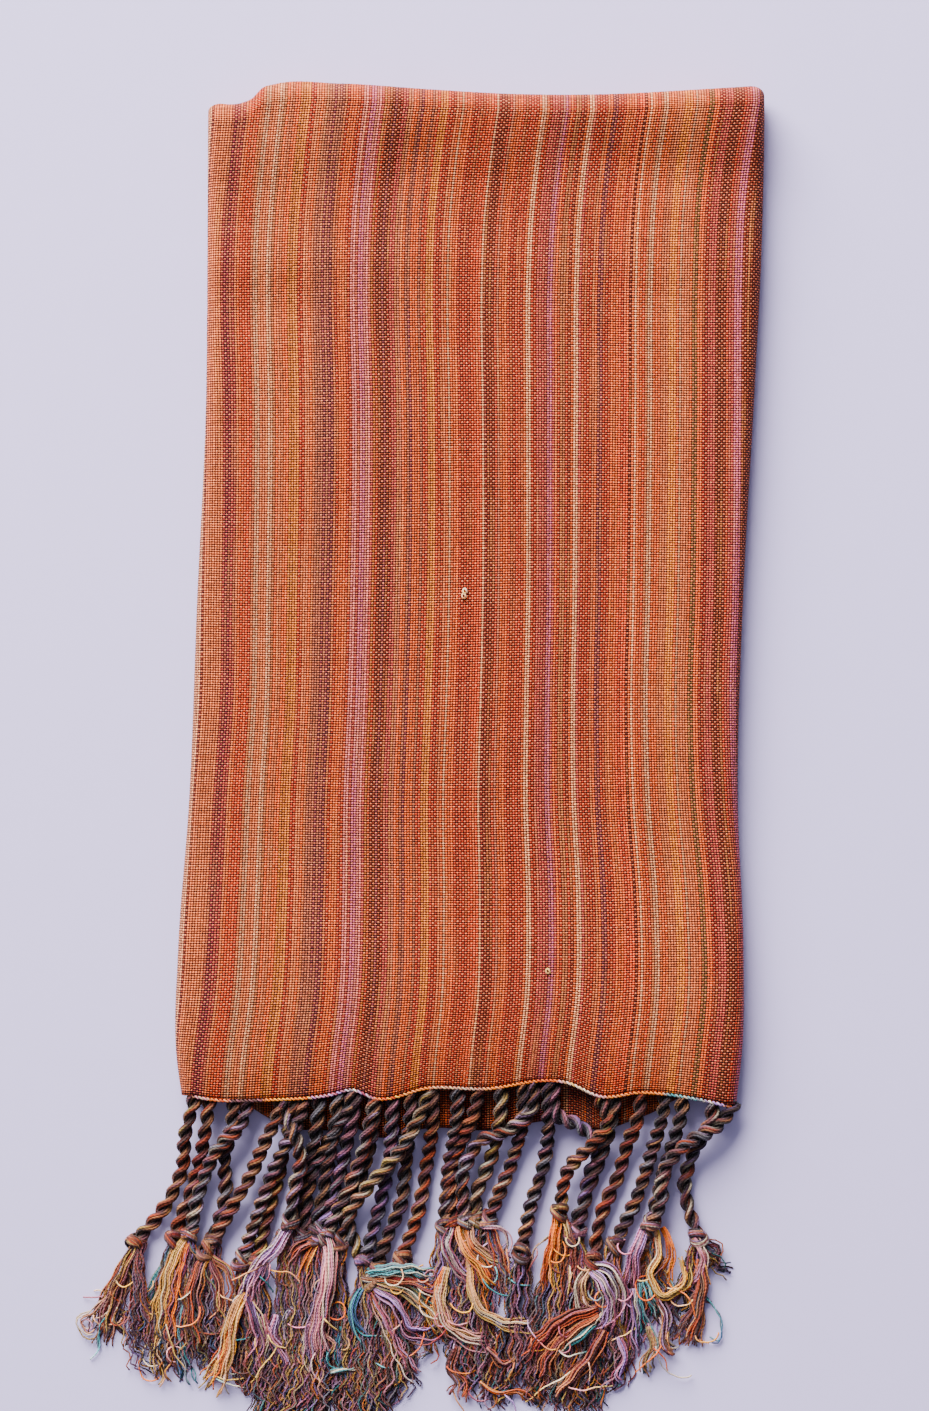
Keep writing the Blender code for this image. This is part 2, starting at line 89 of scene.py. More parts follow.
LIP = [LipPoint(*row) for row in (
    (-135.0, 0.0), (-108.0, 0.0), (-100.0, 6.0), (-88.0, 13.0), (-70.0, 17.0), (-46.0, 19.0),
    (-33.0, 19.5), (-16.0, 20.0), (60.0, 17.0), (84.0, 11.0), (102.0, 0.0), (125.0, 0.0),
)]

# Soft troughs in the top layer. The first lays the far fold's left part flat, the next four deepen the
# dip behind the fold, and the rest make the cloth a little uneven.
Trough = namedtuple("Trough", "across along half_width half_length lean depth")
TROUGHS = [Trough(*row) for row in (
    (-98.0, 462.0, 34.0, 22.0, 0.0, 4.5), (95.0, 436.0, 32.0, 14.0, 0.0, 2.1),
    (-26.0, 437.0, 12.0, 12.0, 0.2, 1.9), (52.0, 441.0, 17.0, 11.0, -0.1, 1.7),
    (-98.0, 414.0, 30.0, 13.0, 0.0, 0.7), (-92.0, 369.0, 30.0, 13.0, 0.0, 1.3),
    (20.0, 420.0, 12.0, 30.0, 0.1, 0.8), (-104.0, 330.0, 7.0, 60.0, 0.05, 0.7),
    (84.0, 300.0, 16.0, 70.0, 0.05, 0.5), (-10.0, 250.0, 40.0, 46.0, 0.2, 0.6),
    (-60.0, 90.0, 40.0, 30.0, -0.2, 0.5), (90.0, 60.0, 14.0, 50.0, -0.05, 0.6),
    (30.0, 130.0, 22.0, 60.0, 0.1, 0.4),
)]

# How far the threads have slid across the packet, at 107 mm to the left and right of its middle
Slide = namedtuple("Slide", "along left right")
SLIDES = [Slide(*row) for row in (
    (0.0, -13.6, 0.5), (18.6, -12.0, 2.2), (46.5, -8.6, 4.9), (93.0, -6.0, 4.2), (140.0, -3.8, 0.2),
    (186.0, -0.8, -1.2), (232.0, 0.0, 0.0), (325.0, 0.6, 0.7), (381.0, -0.5, 1.0), (409.0, 0.4, 2.0),
    (437.0, 3.0, 4.8), (465.0, 6.3, 9.3), (474.0, 7.4, 10.6),
)]
SLIDE_HALF = 107.0
DRAFT_LEFT = -128.8
DRAFT_WIDTH = 256.7

# The top layer's rolls at the sides and round the far fold. An arc is the cloth's own length in a roll:
# in all at a side, and by radian of its turn at the far fold.
CLOTH_THICK = 1.1
SIDE_ROLL = 6.0
SIDE_ROLL_SHARE = 0.45
SIDE_ROLL_ARC = 9.2
FAR_ROLL = 9.0
FAR_ROLL_END = 165.0
FAR_ROLL_ARC = 11.0
HEM_PULL_RUN = 25.0

# The edge of the hidden layers from the top down, as shares of the packet's height and insets. Each
# layer is a round, with a groove under it.
Layer = namedtuple("Layer", "low high side_out hem_out")
LAYERS = [Layer(*row) for row in (
    (0.50, 0.70, -2.0, -3.6), (0.36, 0.52, -0.5, -3.6), (0.17, 0.345, 0.0, 0.0), (0.0, 0.16, -0.5, 0.0),
)]
LAYER_STEPS = 7
GROOVE = 3.4
LIP_ROUND = 3.6
FAR_INSET, FAR_CORNER = 2.4, 3.4
LAYER_WIDTH = 259.0

# The threads' spacing, and the warp's draft across the packet: yarn and number of ends
END_PITCH = 1.21
PICK_PITCH = 1.14
YARNS = {
    "white": (1.0, 0.58, 0.33),
    "cream": (1.0, 0.48, 0.22),
    "peach": (0.92, 0.32, 0.12),
    "tan": (0.62, 0.26, 0.10),
    "greige": (0.54, 0.22, 0.14),
    "orange": (1.0, 0.225, 0.012),
    "fire": (1.0, 0.15, 0.006),
    "rust": (0.62, 0.08, 0.018),
    "brown": (0.26, 0.05, 0.02),
    "burgundy": (0.24, 0.018, 0.02),
    "red": (0.46, 0.04, 0.025),
    "rose": (0.58, 0.11, 0.11),
    "magenta": (0.36, 0.06, 0.11),
    "pink": (0.95, 0.34, 0.34),
    "lilac": (0.76, 0.23, 0.37),
    "mauve": (0.33, 0.10, 0.13),
    "slate": (0.24, 0.22, 0.26),
    "gold": (1.0, 0.40, 0.03),
    "ochre": (0.60, 0.22, 0.03),
    "straw": (0.85, 0.52, 0.11),
    "violet": (0.42, 0.22, 0.62),
    "plum": (0.08, 0.03, 0.09),
    "teal": (0.03, 0.22, 0.24),
    "aqua": (0.12, 0.46, 0.50),
    "denim": (0.05, 0.10, 0.24),
    "olive": (0.24, 0.18, 0.06),
    "umber": (0.10, 0.045, 0.04),
    "bone": (0.85, 0.68, 0.48),
    "blush": (0.80, 0.30, 0.36),
    "mist": (0.60, 0.34, 0.62),
}
DRAFT_RUNS = """
    white 1, peach 1, white 1, brown 1, peach 2, orange 1, peach 3, rose 1, greige 1, magenta 2, rose 1,
    peach 2, orange 1, fire 3, rust 1, peach 1, white 1, peach 1, orange 1, peach 2, white 1, orange 1,
    tan 1, orange 1, peach 1, orange 1, peach 1, orange 1, gold 4, rust 2, peach 1, orange 1, white 1,
    peach 1, greige 2, tan 1, mauve 1, greige 1, mauve 1, peach 1, burgundy 1, rust 1, orange 2, rust 1,
    brown 1, rust 1, pink 1, rose 1, lilac 3, pink 1, rose 2, ochre 1, rust 1, brown 1, mauve 1, rust 1,
    brown 1, burgundy 1, rose 1, greige 1, tan 1, greige 1, orange 1, greige 1, tan 1, mauve 1,
    orange 2, greige 2, rust 2, gold 3, rust 2, peach 1, orange 2, white 1, orange 2, rust 4, orange 1,
    rust 1, fire 4, white 1, burgundy 1, brown 2, mauve 1, rust 1, greige 1, orange 2, rust 4, orange 1,
    rust 2, orange 1, white 1, rust 3, rose 4, lilac 1, rose 1, mauve 1, orange 1, rust 1, tan 1,
    rust 1, orange 1, brown 1, orange 1, white 1, rose 1, orange 1, rust 3, gold 1, peach 1, orange 1,
    mauve 1, rust 4, orange 3, fire 1, rust 1, fire 1, rust 1, brown 1, orange 1, white 1, orange 2,
    fire 1, peach 1, white 1, orange 4, peach 2, gold 3, orange 2, white 1, peach 2, orange 1, white 1,
    olive 2, orange 1, red 3, rose 3, brown 3, rust 1, rose 3, lilac 3, brown 2
"""
DRAFT = [(yarn, int(ends)) for yarn, ends in (run.split() for run in DRAFT_RUNS.split(","))]
ENDS = sum(count for _, count in DRAFT)
WEFT_DEEP = (1.0, 0.185, 0.055)
WEFT_PALE = (1.0, 0.30, 0.13)
# Painted shade: the thread colour is multiplied towards this near black red where the weave is low, in the
# gaps between threads
GAP_PAINTED_SHADE = (0.03, 0.004, 0.004)
WEFT_FALL, WARP_FALL, WEFT_LEAD = 1.9, 1.1, 0.35
WARP_GROUND = (0.50, 0.06, 0.02)
WARP_BLEND = 0.12
WARP_DEPTH = 1.5
WEFT_BLEND = 0.34
DYE_PALE, DYE_DEEP = (1.0, 0.36, 0.07), (0.14, 0.03, 0.03)
END_LIGHT, PICK_LIGHT, CELL_LIGHT = (0.68, 1.26), (0.85, 1.15), (0.72, 1.26)
# The weave heights over which that painted shade in the gaps fades out
GAP_SHADE_RANGE = (-0.04, 0.84)

# Yarn families of the fringe
FAMILIES = {name: yarns.split() for name, yarns in {
    "dark": "umber plum brown umber mauve slate tan",
    "mixed": "umber brown mauve umber peach slate bone plum rust mauve mist",
    "warm": "brown umber rust peach straw mauve umber",
    "rust": "umber rust brown mauve peach burgundy",
    "brown": "brown greige umber tan mauve rust",
    "purple": "plum violet umber mauve lilac slate",
    "pale": "umber tan bone brown straw greige slate",
    "orange": "orange fire gold rust orange peach",
    "yellow": "straw cream gold bone straw tan",
    "cream": "bone cream straw blush greige",
    "pink": "blush pink rose mist magenta bone lilac",
    "lilac": "mist lilac violet blush slate bone magenta",
    "violet": "violet plum lilac magenta mist",
    "magenta": "magenta rose plum violet blush",
    "teal": "teal aqua teal bone slate",
    "blue": "denim aqua denim teal slate",
    "olive": "olive tan straw teal umber bone",
    "tangle": "umber brown plum mauve rust slate olive umber magenta rose "
              "lilac denim violet mist straw orange teal blush plum gold",
}.items()}


def read_route(places):
    """A route in the photo's pixels, from text with its points parted by commas."""
    return [tuple(float(number) for number in place.split()) for place in places.split(",")]


# Each cord's route in the photo's pixels, from the hem to its knot. Lift is how much it lies on others.
# Its start is the height of its middle under the hem: UPPER for the end on top, LOWER for the other.
Cord = namedtuple("Cord", "start family lift route")
UPPER, LOWER = 9.0, 7.8
CORDS = [Cord(*row, read_route(route)) for *row, route in (
    (UPPER, "warm", 0, "193 1102, 184 1135, 180 1172, 160 1214, 135 1243"),
    (LOWER, "rust", 0, "208 1103, 203 1138, 196 1172, 184 1208, 172 1240"),
    (UPPER, "mixed", 1, "248 1099, 240 1126, 216 1151, 202 1182, 188 1235"),
    (LOWER, "dark", 0, "232 1120, 223 1165, 224 1195, 212 1240"),
    (LOWER, "brown", 1, "278 1112, 262 1148, 248 1180, 228 1214, 206 1252"),
    (LOWER, "warm", 0, "292 1112, 285 1145, 277 1179, 268 1211, 256 1262"),
    (LOWER, "mixed", 1, "300 1115, 278 1160, 262 1201, 241 1262"),
    (UPPER, "mixed", 2, "282 1106, 295 1137, 300 1162, 293 1192, 290 1222"),
    (LOWER, "dark", 0, "350 1106, 335 1131, 317 1162, 307 1195, 303 1234"),
    (LOWER, "purple", 0, "354 1112, 346 1145, 337 1185, 320 1234"),
    (UPPER, "mixed", 1, "375 1100, 366 1140, 354 1177, 340 1207, 325 1238"),
    (LOWER, "dark", 0, "318 1112, 312 1150, 300 1190, 282 1242"),
    (LOWER, "dark", 0, "336 1112, 330 1150, 323 1190, 314 1236"),
    (LOWER, "dark", 0, "374 1116, 366 1160, 352 1200, 340 1244"),
    (LOWER, "purple", 0, "392 1118, 388 1165, 380 1205, 364 1262"),
    (UPPER, "pale", 2, "430 1091, 419 1118, 395 1158, 368 1188, 348 1219, 358 1256, 368 1282"),
    (LOWER, "dark", 0, "410 1118, 405 1170, 400 1208, 386 1242, 376 1270"),
    (LOWER, "brown", 0, "432 1125, 426 1170, 418 1214, 402 1260"),
    (UPPER, "rust", 0, "480 1089, 473 1117, 458 1151, 450 1185, 452 1222"),
    (LOWER, "dark", 0, "457 1116, 450 1160, 446 1195, 444 1228"),
    (LOWER, "mixed", 1, "531 1112, 510 1131, 480 1143, 465 1168, 464 1222"),
    (LOWER, "pale", 0, "500 1120, 489 1167, 478 1192, 474 1222"),
    (LOWER, "mixed", 0, "522 1125, 512 1165, 501 1192, 489 1222"),
    (LOWER, "dark", 0, "548 1100, 548 1140, 542 1175, 532 1205, 522 1254"),
    (UPPER, "warm", 1, "600 1098, 609 1122, 594 1144, 569 1171, 560 1212"),
    (LOWER, "purple", 0, "558 1117, 580 1128, 598 1150, 590 1180, 579 1232"),
    (LOWER, "dark", 0, "614 1112, 604 1150, 590 1190, 572 1240"),
    (LOWER, "rust", 0, "640 1112, 627 1150, 619 1179, 604 1212, 594 1262"),
    (LOWER, "dark", 0, "664 1112, 652 1155, 640 1195, 616 1246"),
    (LOWER, "dark", 0, "682 1114, 672 1150, 660 1195, 646 1240"),
    (UPPER, "mixed", 2, "735 1105, 722 1124, 685 1146, 664 1172, 661 1205, 653 1224"),
    (LOWER, "mixed", 0, "712 1120, 693 1158, 686 1190, 692 1218, 699 1238"),
)]
CORD_PITCH = 13.5
PLY_OFFSET = 1.75
STRAND_OFFSET = 1.15
STRANDS = 6
STRAND_RADIUS = 0.7
CORD_STEP = 1.3
CORD_ROOT = 2.2
CORD_LIFT = 3.2
KNOT_YARNS, KNOT_RINGS = 6, 26
KNOT_HEIGHT = 4.2
KNOT_REACH = 2.6
KNOT_YARN_RADIUS = 0.62

# How high a cord's middle lies over the lip and down to the floor, by its way out from the hem. The
# first row is where the cord starts, at its own height.
Drop = namedtuple("Drop", "out height")
DROPS = [Drop(*row) for row in (
    (0.0, 0.0), (4.0, 9.5), (11.0, 9.8), (17.5, 9.4), (27.0, 6.6), (37.0, 3.9), (60.0, 3.7),
)]

# The locks that show, by family, half their number of yarns, height at the middle, and route in pixels
Lock = namedtuple("Lock", "family yarns high route")
LOCKS = [Lock(*row, read_route(route)) for *row, route in (
    ("warm", 9, 5, "133 1248, 118 1276, 104 1304, 90 1346"),
    ("rust", 8, 4, "134 1250, 137 1282, 132 1310, 134 1334"),
    ("brown", 7, 3, "130 1252, 120 1290, 108 1322, 102 1354"),
    ("cream", 3, 4, "112 1296, 90 1316, 77 1326, 84 1338, 96 1334"),
    ("yellow", 9, 7, "184 1240, 170 1268, 162 1300, 154 1344"),
    ("violet", 9, 5, "189 1244, 180 1278, 166 1310, 158 1336"),
    ("orange", 5, 6, "187 1246, 176 1292, 170 1330, 178 1360"),
    ("yellow", 4, 5, "186 1256, 180 1300, 177 1322, 182 1348"),
    ("teal", 3, 4, "180 1240, 162 1266, 148 1296, 138 1334"),
    ("blue", 5, 3, "184 1300, 176 1340, 180 1366, 184 1394"),
    ("yellow", 4, 3, "160 1330, 152 1360, 158 1382, 150 1388"),
    ("brown", 9, 6, "204 1258, 192 1290, 190 1324, 197 1366"),
    ("rust", 5, 6, "208 1262, 217 1288, 217 1308, 204 1330"),
    ("warm", 4, 6, "209 1260, 226 1274, 231 1290, 224 1322"),
    ("lilac", 10, 10, "291 1224, 280 1244, 257 1270, 245 1298, 236 1316"),
    ("yellow", 9, 8, "244 1296, 231 1322, 226 1352, 204 1402"),
    ("orange", 5, 7, "240 1306, 228 1340, 214 1374, 203 1392"),
    ("violet", 6, 7, "246 1298, 253 1322, 259 1344, 248 1370"),
    ("yellow", 3, 7, "249 1302, 262 1330, 262 1352, 252 1372"),
    ("pink", 16, 11, "326 1240, 329 1262, 325 1292, 316 1334, 315 1380"),
    ("brown", 6, 8, "320 1240, 299 1249, 286 1266, 281 1288"),
    ("orange", 5, 8, "318 1244, 306 1262, 301 1282, 288 1304"),
    ("lilac", 6, 5, "300 1296, 280 1326, 284 1356, 276 1388"),
    ("cream", 3, 6, "320 1334, 334 1348, 328 1362, 322 1358"),
    ("blue", 5, 6, "318 1322, 316 1342, 322 1362, 318 1384"),
    ("olive", 6, 5, "300 1250, 290 1300, 300 1340, 296 1392"),
    ("violet", 8, 5, "276 1318, 272 1342, 284 1362, 280 1386"),
    ("magenta", 5, 6, "262 1318, 270 1340, 290 1352, 300 1348"),
    ("olive", 7, 5, "306 1330, 302 1360, 308 1384, 318 1402"),
    ("blue", 5, 4, "340 1330, 336 1356, 342 1380, 350 1398"),
    ("warm", 6, 4, "244 1350, 240 1374, 248 1390, 240 1404"),
    ("teal", 9, 10, "366 1276, 382 1273, 404 1272, 437 1283"),
    ("olive", 10, 7, "370 1284, 402 1292, 430 1316, 446 1342"),
    ("rust", 8, 8, "372 1280, 396 1281, 420 1286, 447 1300"),
    ("violet", 6, 8, "370 1290, 396 1308, 410 1334, 444 1337"),
    ("pink", 6, 6, "368 1292, 386 1330, 404 1368, 419 1388"),
    ("blue", 6, 8, "362 1292, 352 1310, 358 1334, 368 1356"),
    ("olive", 8, 5, "366 1294, 384 1330, 392 1360, 386 1402"),
    ("teal", 3, 6, "330 1376, 344 1372, 354 1373, 360 1369"),
    ("lilac", 7, 9, "454 1224, 446 1244, 461 1278, 480 1300"),
    ("orange", 12, 9, "460 1228, 464 1246, 480 1268, 498 1298"),
    ("cream", 5, 8, "470 1226, 474 1246, 494 1262, 516 1276"),
    ("yellow", 6, 8, "468 1262, 480 1312, 508 1328, 532 1330, 538 1318"),
    ("cream", 9, 7, "446 1270, 439 1300, 448 1330, 486 1347, 470 1336"),
    ("orange", 6, 6, "444 1270, 434 1304, 436 1332, 446 1354"),
    ("lilac", 3, 10, "478 1230, 500 1229, 509 1246, 497 1260"),
    ("cream", 1, 6, "551 1238, 537 1250, 531 1268, 528 1285"),
    ("rust", 9, 7, "488 1226, 496 1252, 504 1282, 516 1312"),
    ("orange", 9, 8, "560 1214, 556 1240, 550 1268, 551 1306"),
    ("rust", 9, 7, "562 1216, 572 1246, 570 1276, 560 1312"),
    ("yellow", 3, 8, "562 1216, 568 1234, 574 1252, 584 1262"),
    ("lilac", 7, 12, "590 1272, 602 1284, 609 1306, 597 1338"),
    ("lilac", 9, 10, "594 1268, 612 1274, 622 1300, 610 1342"),
    ("cream", 7, 10, "590 1272, 582 1286, 584 1304, 598 1318"),
    ("rust", 10, 9, "598 1312, 566 1320, 540 1342, 520 1366"),
    ("warm", 10, 8, "600 1320, 574 1334, 552 1354, 538 1388"),
    ("teal", 3, 9, "596 1328, 580 1340, 566 1350, 550 1362"),
    ("rust", 9, 7, "606 1334, 592 1360, 576 1380, 556 1404"),
    ("orange", 3, 4, "480 1386, 500 1398, 518 1394, 536 1410"),
    ("rust", 5, 5, "486 1352, 506 1370, 522 1360, 534 1346"),
    ("lilac", 10, 9, "648 1228, 638 1248, 631 1276, 630 1300"),
    ("violet", 6, 6, "632 1292, 637 1318, 636 1340, 640 1364"),
    ("teal", 5, 7, "640 1286, 640 1306, 644 1328, 641 1348"),
    ("teal", 3, 7, "646 1284, 650 1298, 655 1310, 661 1324"),
    ("yellow", 5, 8, "658 1228, 661 1256, 652 1278, 665 1298, 687 1282, 684 1262, 675 1248"),
    ("mixed", 8, 5, "660 1300, 668 1324, 664 1344, 676 1362"),
    ("violet", 6, 5, "620 1340, 626 1362, 616 1380, 622 1396"),
    ("olive", 6, 5, "650 1330, 654 1352, 646 1370, 650 1386"),
    ("rust", 8, 5, "458 1350, 452 1372, 462 1390, 456 1406"),
    ("orange", 4, 7, "664 1230, 672 1250, 668 1272, 660 1290"),
    ("pink", 7, 8, "697 1240, 705 1258, 704 1276, 697 1292"),
    ("brown", 8, 5, "702 1262, 703 1294, 696 1318, 676 1352"),
    ("dark", 6, 4, "704 1280, 703 1306, 702 1330, 697 1354"),
    ("blue", 1, 3, "706 1300, 721 1324, 719 1344, 708 1340"),
)]
YARN_RADIUS = 0.36

# How low the tassels reach in the photo, by place across it. Past its lower edge they go on plainly.
Reach = namedtuple("Reach", "across low")
TANGLE_EDGE = [Reach(*row) for row in (
    (86.0, 1346.0), (112.0, 1352.0), (140.0, 1388.0), (190.0, 1394.0), (208.0, 1384.0), (236.0, 1402.0),
    (256.0, 1436.0), (330.0, 1440.0), (398.0, 1432.0), (418.0, 1396.0), (430.0, 1352.0),
    (444.0, 1362.0), (462.0, 1404.0), (520.0, 1426.0), (560.0, 1440.0), (600.0, 1430.0),
    (630.0, 1384.0), (656.0, 1336.0), (672.0, 1352.0), (702.0, 1348.0), (716.0, 1300.0),
)]
HIDDEN_LOCKS = 6
HIDDEN_YARNS = 10
CURLS = 75
CURL_FAMILIES = ("lilac", "cream", "orange", "rust", "teal", "pink", "tangle", "yellow")

# The thin yarn twisted along the hem, by its colours' places in the photo
HemYarn = namedtuple("HemYarn", "first last family")
HEM_YARN = [HemYarn(*row) for row in (
    (182, 206, "cream"), (206, 228, "orange"), (228, 262, "dark"), (262, 308, "orange"),
    (308, 356, "lilac"), (356, 372, "pink"), (372, 430, "orange"), (430, 484, "cream"),
    (484, 556, "orange"), (556, 604, "cream"), (604, 664, "orange"), (664, 700, "teal"),
    (700, 724, "lilac"), (724, 744, "orange"),
)]

# Knots of loose fibre in the top layer, in the photo's pixels
SLUBS = ((465, 593), (464, 598), (548, 973))
SLUB_RADIUS = 0.45
HEM_YARN_LEFT, HEM_YARN_RIGHT = -131.5, 122.5
HEM_YARN_STEP, HEM_YARN_TWIST, HEM_YARN_RADIUS = 0.55, 0.62, 0.46

KEY_POWER = 980.0
FILL_POWER = 5.0
STUDIO = 0.36
FLOOR_COLOUR = (0.56, 0.50, 0.81)
FLOOR_HALF = 3.0


def read_curve(key, value, where):
    """A smooth curve through the values at their keys, read at the places given."""
    slope = np.gradient(value, key, axis=0)
    i = np.clip(np.searchsorted(key, where) - 1, 0, len(key) - 2)
    span = key[i + 1] - key[i]
    t = (where - key[i]) / span
    if value.ndim == 2:
        span, t = span[:, None], t[:, None]
    near = (1 + 2 * t) * (1 - t) ** 2 * value[i] + t * (1 - t) ** 2 * span * slope[i]
    far = t * t * (3 - 2 * t) * value[i + 1] - t * t * (1 - t) * span * slope[i + 1]
    return near + far


def smooth(table, column, where):
    """One column of a table, read from a smooth curve through its rows."""
    key = np.array([row[0] for row in table])
    value = np.array([getattr(row, column) for row in table])
    return read_curve(key, value, np.clip(where, key[0], key[-1]))


def length_along(points):
    """The way along a row of points, at each of them."""
    return np.concatenate([[0], np.cumsum(np.linalg.norm(np.diff(points, axis=0), axis=1))])


def side_and_normal(path):
    """Two directions across a path, and its own, at each of its points."""
    tangent = np.gradient(path, axis=0)
    tangent /= np.linalg.norm(tangent, axis=1)[:, None] + 1e-9
    side = np.cross(tangent, (0.0, 0.02, 1.0))
    side /= np.linalg.norm(side, axis=1)[:, None] + 1e-9
    return side, np.cross(side, tangent), tangent


def top_height(across, along):
    """The height of the top layer, with its troughs and a slight unevenness."""
    height = smooth(RISES, "height", along)
    from_hem = np.maximum(along - smooth(HEM, "along", across), 0)
    height = height - HEM_FALL * np.exp(-from_hem / HEM_FALL_RUN)
    for trough in TROUGHS:
        off_x = across - trough.across - trough.lean * (along - trough.along)
        off = (off_x / trough.half_width) ** 2
        off = off + ((along - trough.along) / trough.half_length) ** 2
        height = height - trough.depth * np.exp(-off)
    height = height + 0.16 * np.sin(across / 13.0 + along / 41.0) * np.sin(along / 27.0 - across / 35.0)
    return height + 0.10 * np.sin(across / 6.1 - along / 23.0) * np.sin(along / 11.0 + across / 19.0)


def end_at(across, along):
    """The number of the warp end that lies at a place."""
    share = (across + SLIDE_HALF) / (2 * SLIDE_HALF)
    slid = between(smooth(SLIDES, "left", along), smooth(SLIDES, "right", along), share)
    return (across - slid - DRAFT_LEFT) / DRAFT_WIDTH * ENDS


def between(a, b, share):
    """The value at a share of the way from one to the other."""
    return a + (b - a) * share


def add_object(name, data):
    """An object for a mesh, a light or a camera, in the scene."""
    made = bpy.data.objects.new(name, data)
    bpy.context.scene.collection.objects.link(made)
    return made


def make_piece(name, points, quads, material, uv=None, colour=None):
    """A mesh from arrays in millimetres, smooth, as a piece that rides with the scarf."""
    mesh = bpy.data.meshes.new(name)
    mesh.from_pydata(points * MM + ORIGIN, [], quads)
    mesh.update()
    mesh.shade_smooth()
    if uv is not None:
        layer = mesh.uv_layers.new(name="threads")
        layer.data.foreach_set("uv", np.asarray(uv, np.float32).reshape(-1))
    if colour is not None:
        layer = mesh.color_attributes.new("yarn", "FLOAT_COLOR", "POINT")
        rgba = np.concatenate([colour, np.ones((len(colour), 1))], axis=1)
        layer.data.foreach_set("color", rgba.astype(np.float32).reshape(-1))
    mesh.materials.append(material)
    piece = add_object(name, mesh)
    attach(piece, "root")
    return piece


class Shader:
    """A material's node tree, with short ways to add what the cloth and the yarn need."""

    def __init__(self, name, roughness, sheen, specular=0.12):
        self.material = bpy.data.materials.new(name)
        self.material.use_nodes = True
        self.tree = self.material.node_tree
        self.principled = self.tree.nodes["Principled BSDF"]
        self.principled.inputs["Roughness"].default_value = roughness
        self.principled.inputs["Sheen Weight"].default_value = sheen
        self.principled.inputs["Specular IOR Level"].default_value = specular

    def node(self, kind, **settings):
        made = self.tree.nodes.new(kind)
        for key, value in settings.items():
            setattr(made, key, value)
        return made

    def link(self, source, socket):
        if hasattr(source, "is_output"):
            self.tree.links.new(source, socket)
        else:
            socket.default_value = source

    def math(self, operation, *values):
        made = self.node("ShaderNodeMath", operation=operation)
        for value, socket in zip(values, made.inputs):
            self.link(value, socket)
        return made.outputs[0]

    def vector(self, x, y, z=0.0):
        made = self.node("ShaderNodeCombineXYZ")
        for value, socket in zip((x, y, z), made.inputs):
            self.link(value, socket)
        return made.outputs[0]

    def mix(self, share, first, second, blend="MIX"):
        made = self.node("ShaderNodeMix", data_type="RGBA", blend_type=blend)
        self.link(share, made.inputs["Factor"])
        for value, index in ((first, 6), (second, 7)):
            value = (*value, 1.0) if isinstance(value, tuple) and len(value) == 3 else value
            self.link(value, made.inputs[index])
        return made.outputs[2]

    def white_noise(self, vector):
        made = self.node("ShaderNodeTexWhiteNoise", noise_dimensions="3D")
        self.link(vector, made.inputs["Vector"])
        return made.outputs["Value"]

    def noise(self, vector, scale, detail=2.0):
        made = self.node("ShaderNodeTexNoise")
        self.link(vector, made.inputs["Vector"])
        made.inputs["Scale"].default_value = scale
        made.inputs["Detail"].default_value = detail
        return made.outputs["Fac"]

    def map_range(self, value, low, high, to_low, to_high):
        made = self.node("ShaderNodeMapRange")
        for item, socket in zip((value, low, high, to_low, to_high), made.inputs):
            self.link(item, socket)
        return made.outputs[0]

    def bump(self, height, distance, strength):
        made = self.node("ShaderNodeBump")
        made.inputs["Distance"].default_value = distance
        made.inputs["Strength"].default_value = strength
        self.link(height, made.inputs["Height"])
        self.tree.links.new(made.outputs[0], self.principled.inputs["Normal"])

    def colour(self, value):
        self.link(value, self.principled.inputs["Base Color"])

    def dim(self, colour, light):
        """A colour times a light, which is a number or a socket."""
        return self.mix(1.0, colour, self.vector(light, light, light), "MULTIPLY")

    def threads(self):
        """The place among the threads, whole and as its two numbers."""
        place = self.node("ShaderNodeUVMap", uv_map="threads").outputs[0]
        split = self.node("ShaderNodeSeparateXYZ")
        self.link(place, split.inputs[0])
        return place, split.outputs[0], split.outputs[1]


def warp_colour(shader, share):
    """The warp's stripes, as colour ramps read across the cloth, each with as many stops as it takes."""
    most = 30
    starts = np.cumsum([0] + [count for _, count in DRAFT]) / ENDS
    rows = [(float(start), np.power(YARNS[yarn], WARP_DEPTH)) for start, (yarn, _) in zip(starts, DRAFT)]
    found = None
    for first in range(0, len(rows), most):
        ramp = shader.node("ShaderNodeValToRGB")
        ramp.color_ramp.interpolation = "CONSTANT"
        stops = ramp.color_ramp.elements
        chunk = rows[first : first + most]
        stops[0].position, stops[0].color = chunk[0][0], (*chunk[0][1], 1.0)
        stops[1].position, stops[1].color = chunk[1][0], (*chunk[1][1], 1.0)
        for start, rgb in chunk[2:]:
            stops.new(start).color = (*rgb, 1.0)
        shader.link(share, ramp.inputs[0])
        if found is None:
            found = ramp.outputs[0]
        else:
            past = shader.math("GREATER_THAN", share, chunk[0][0])
            found = shader.mix(past, found, ramp.outputs[0])
    return found


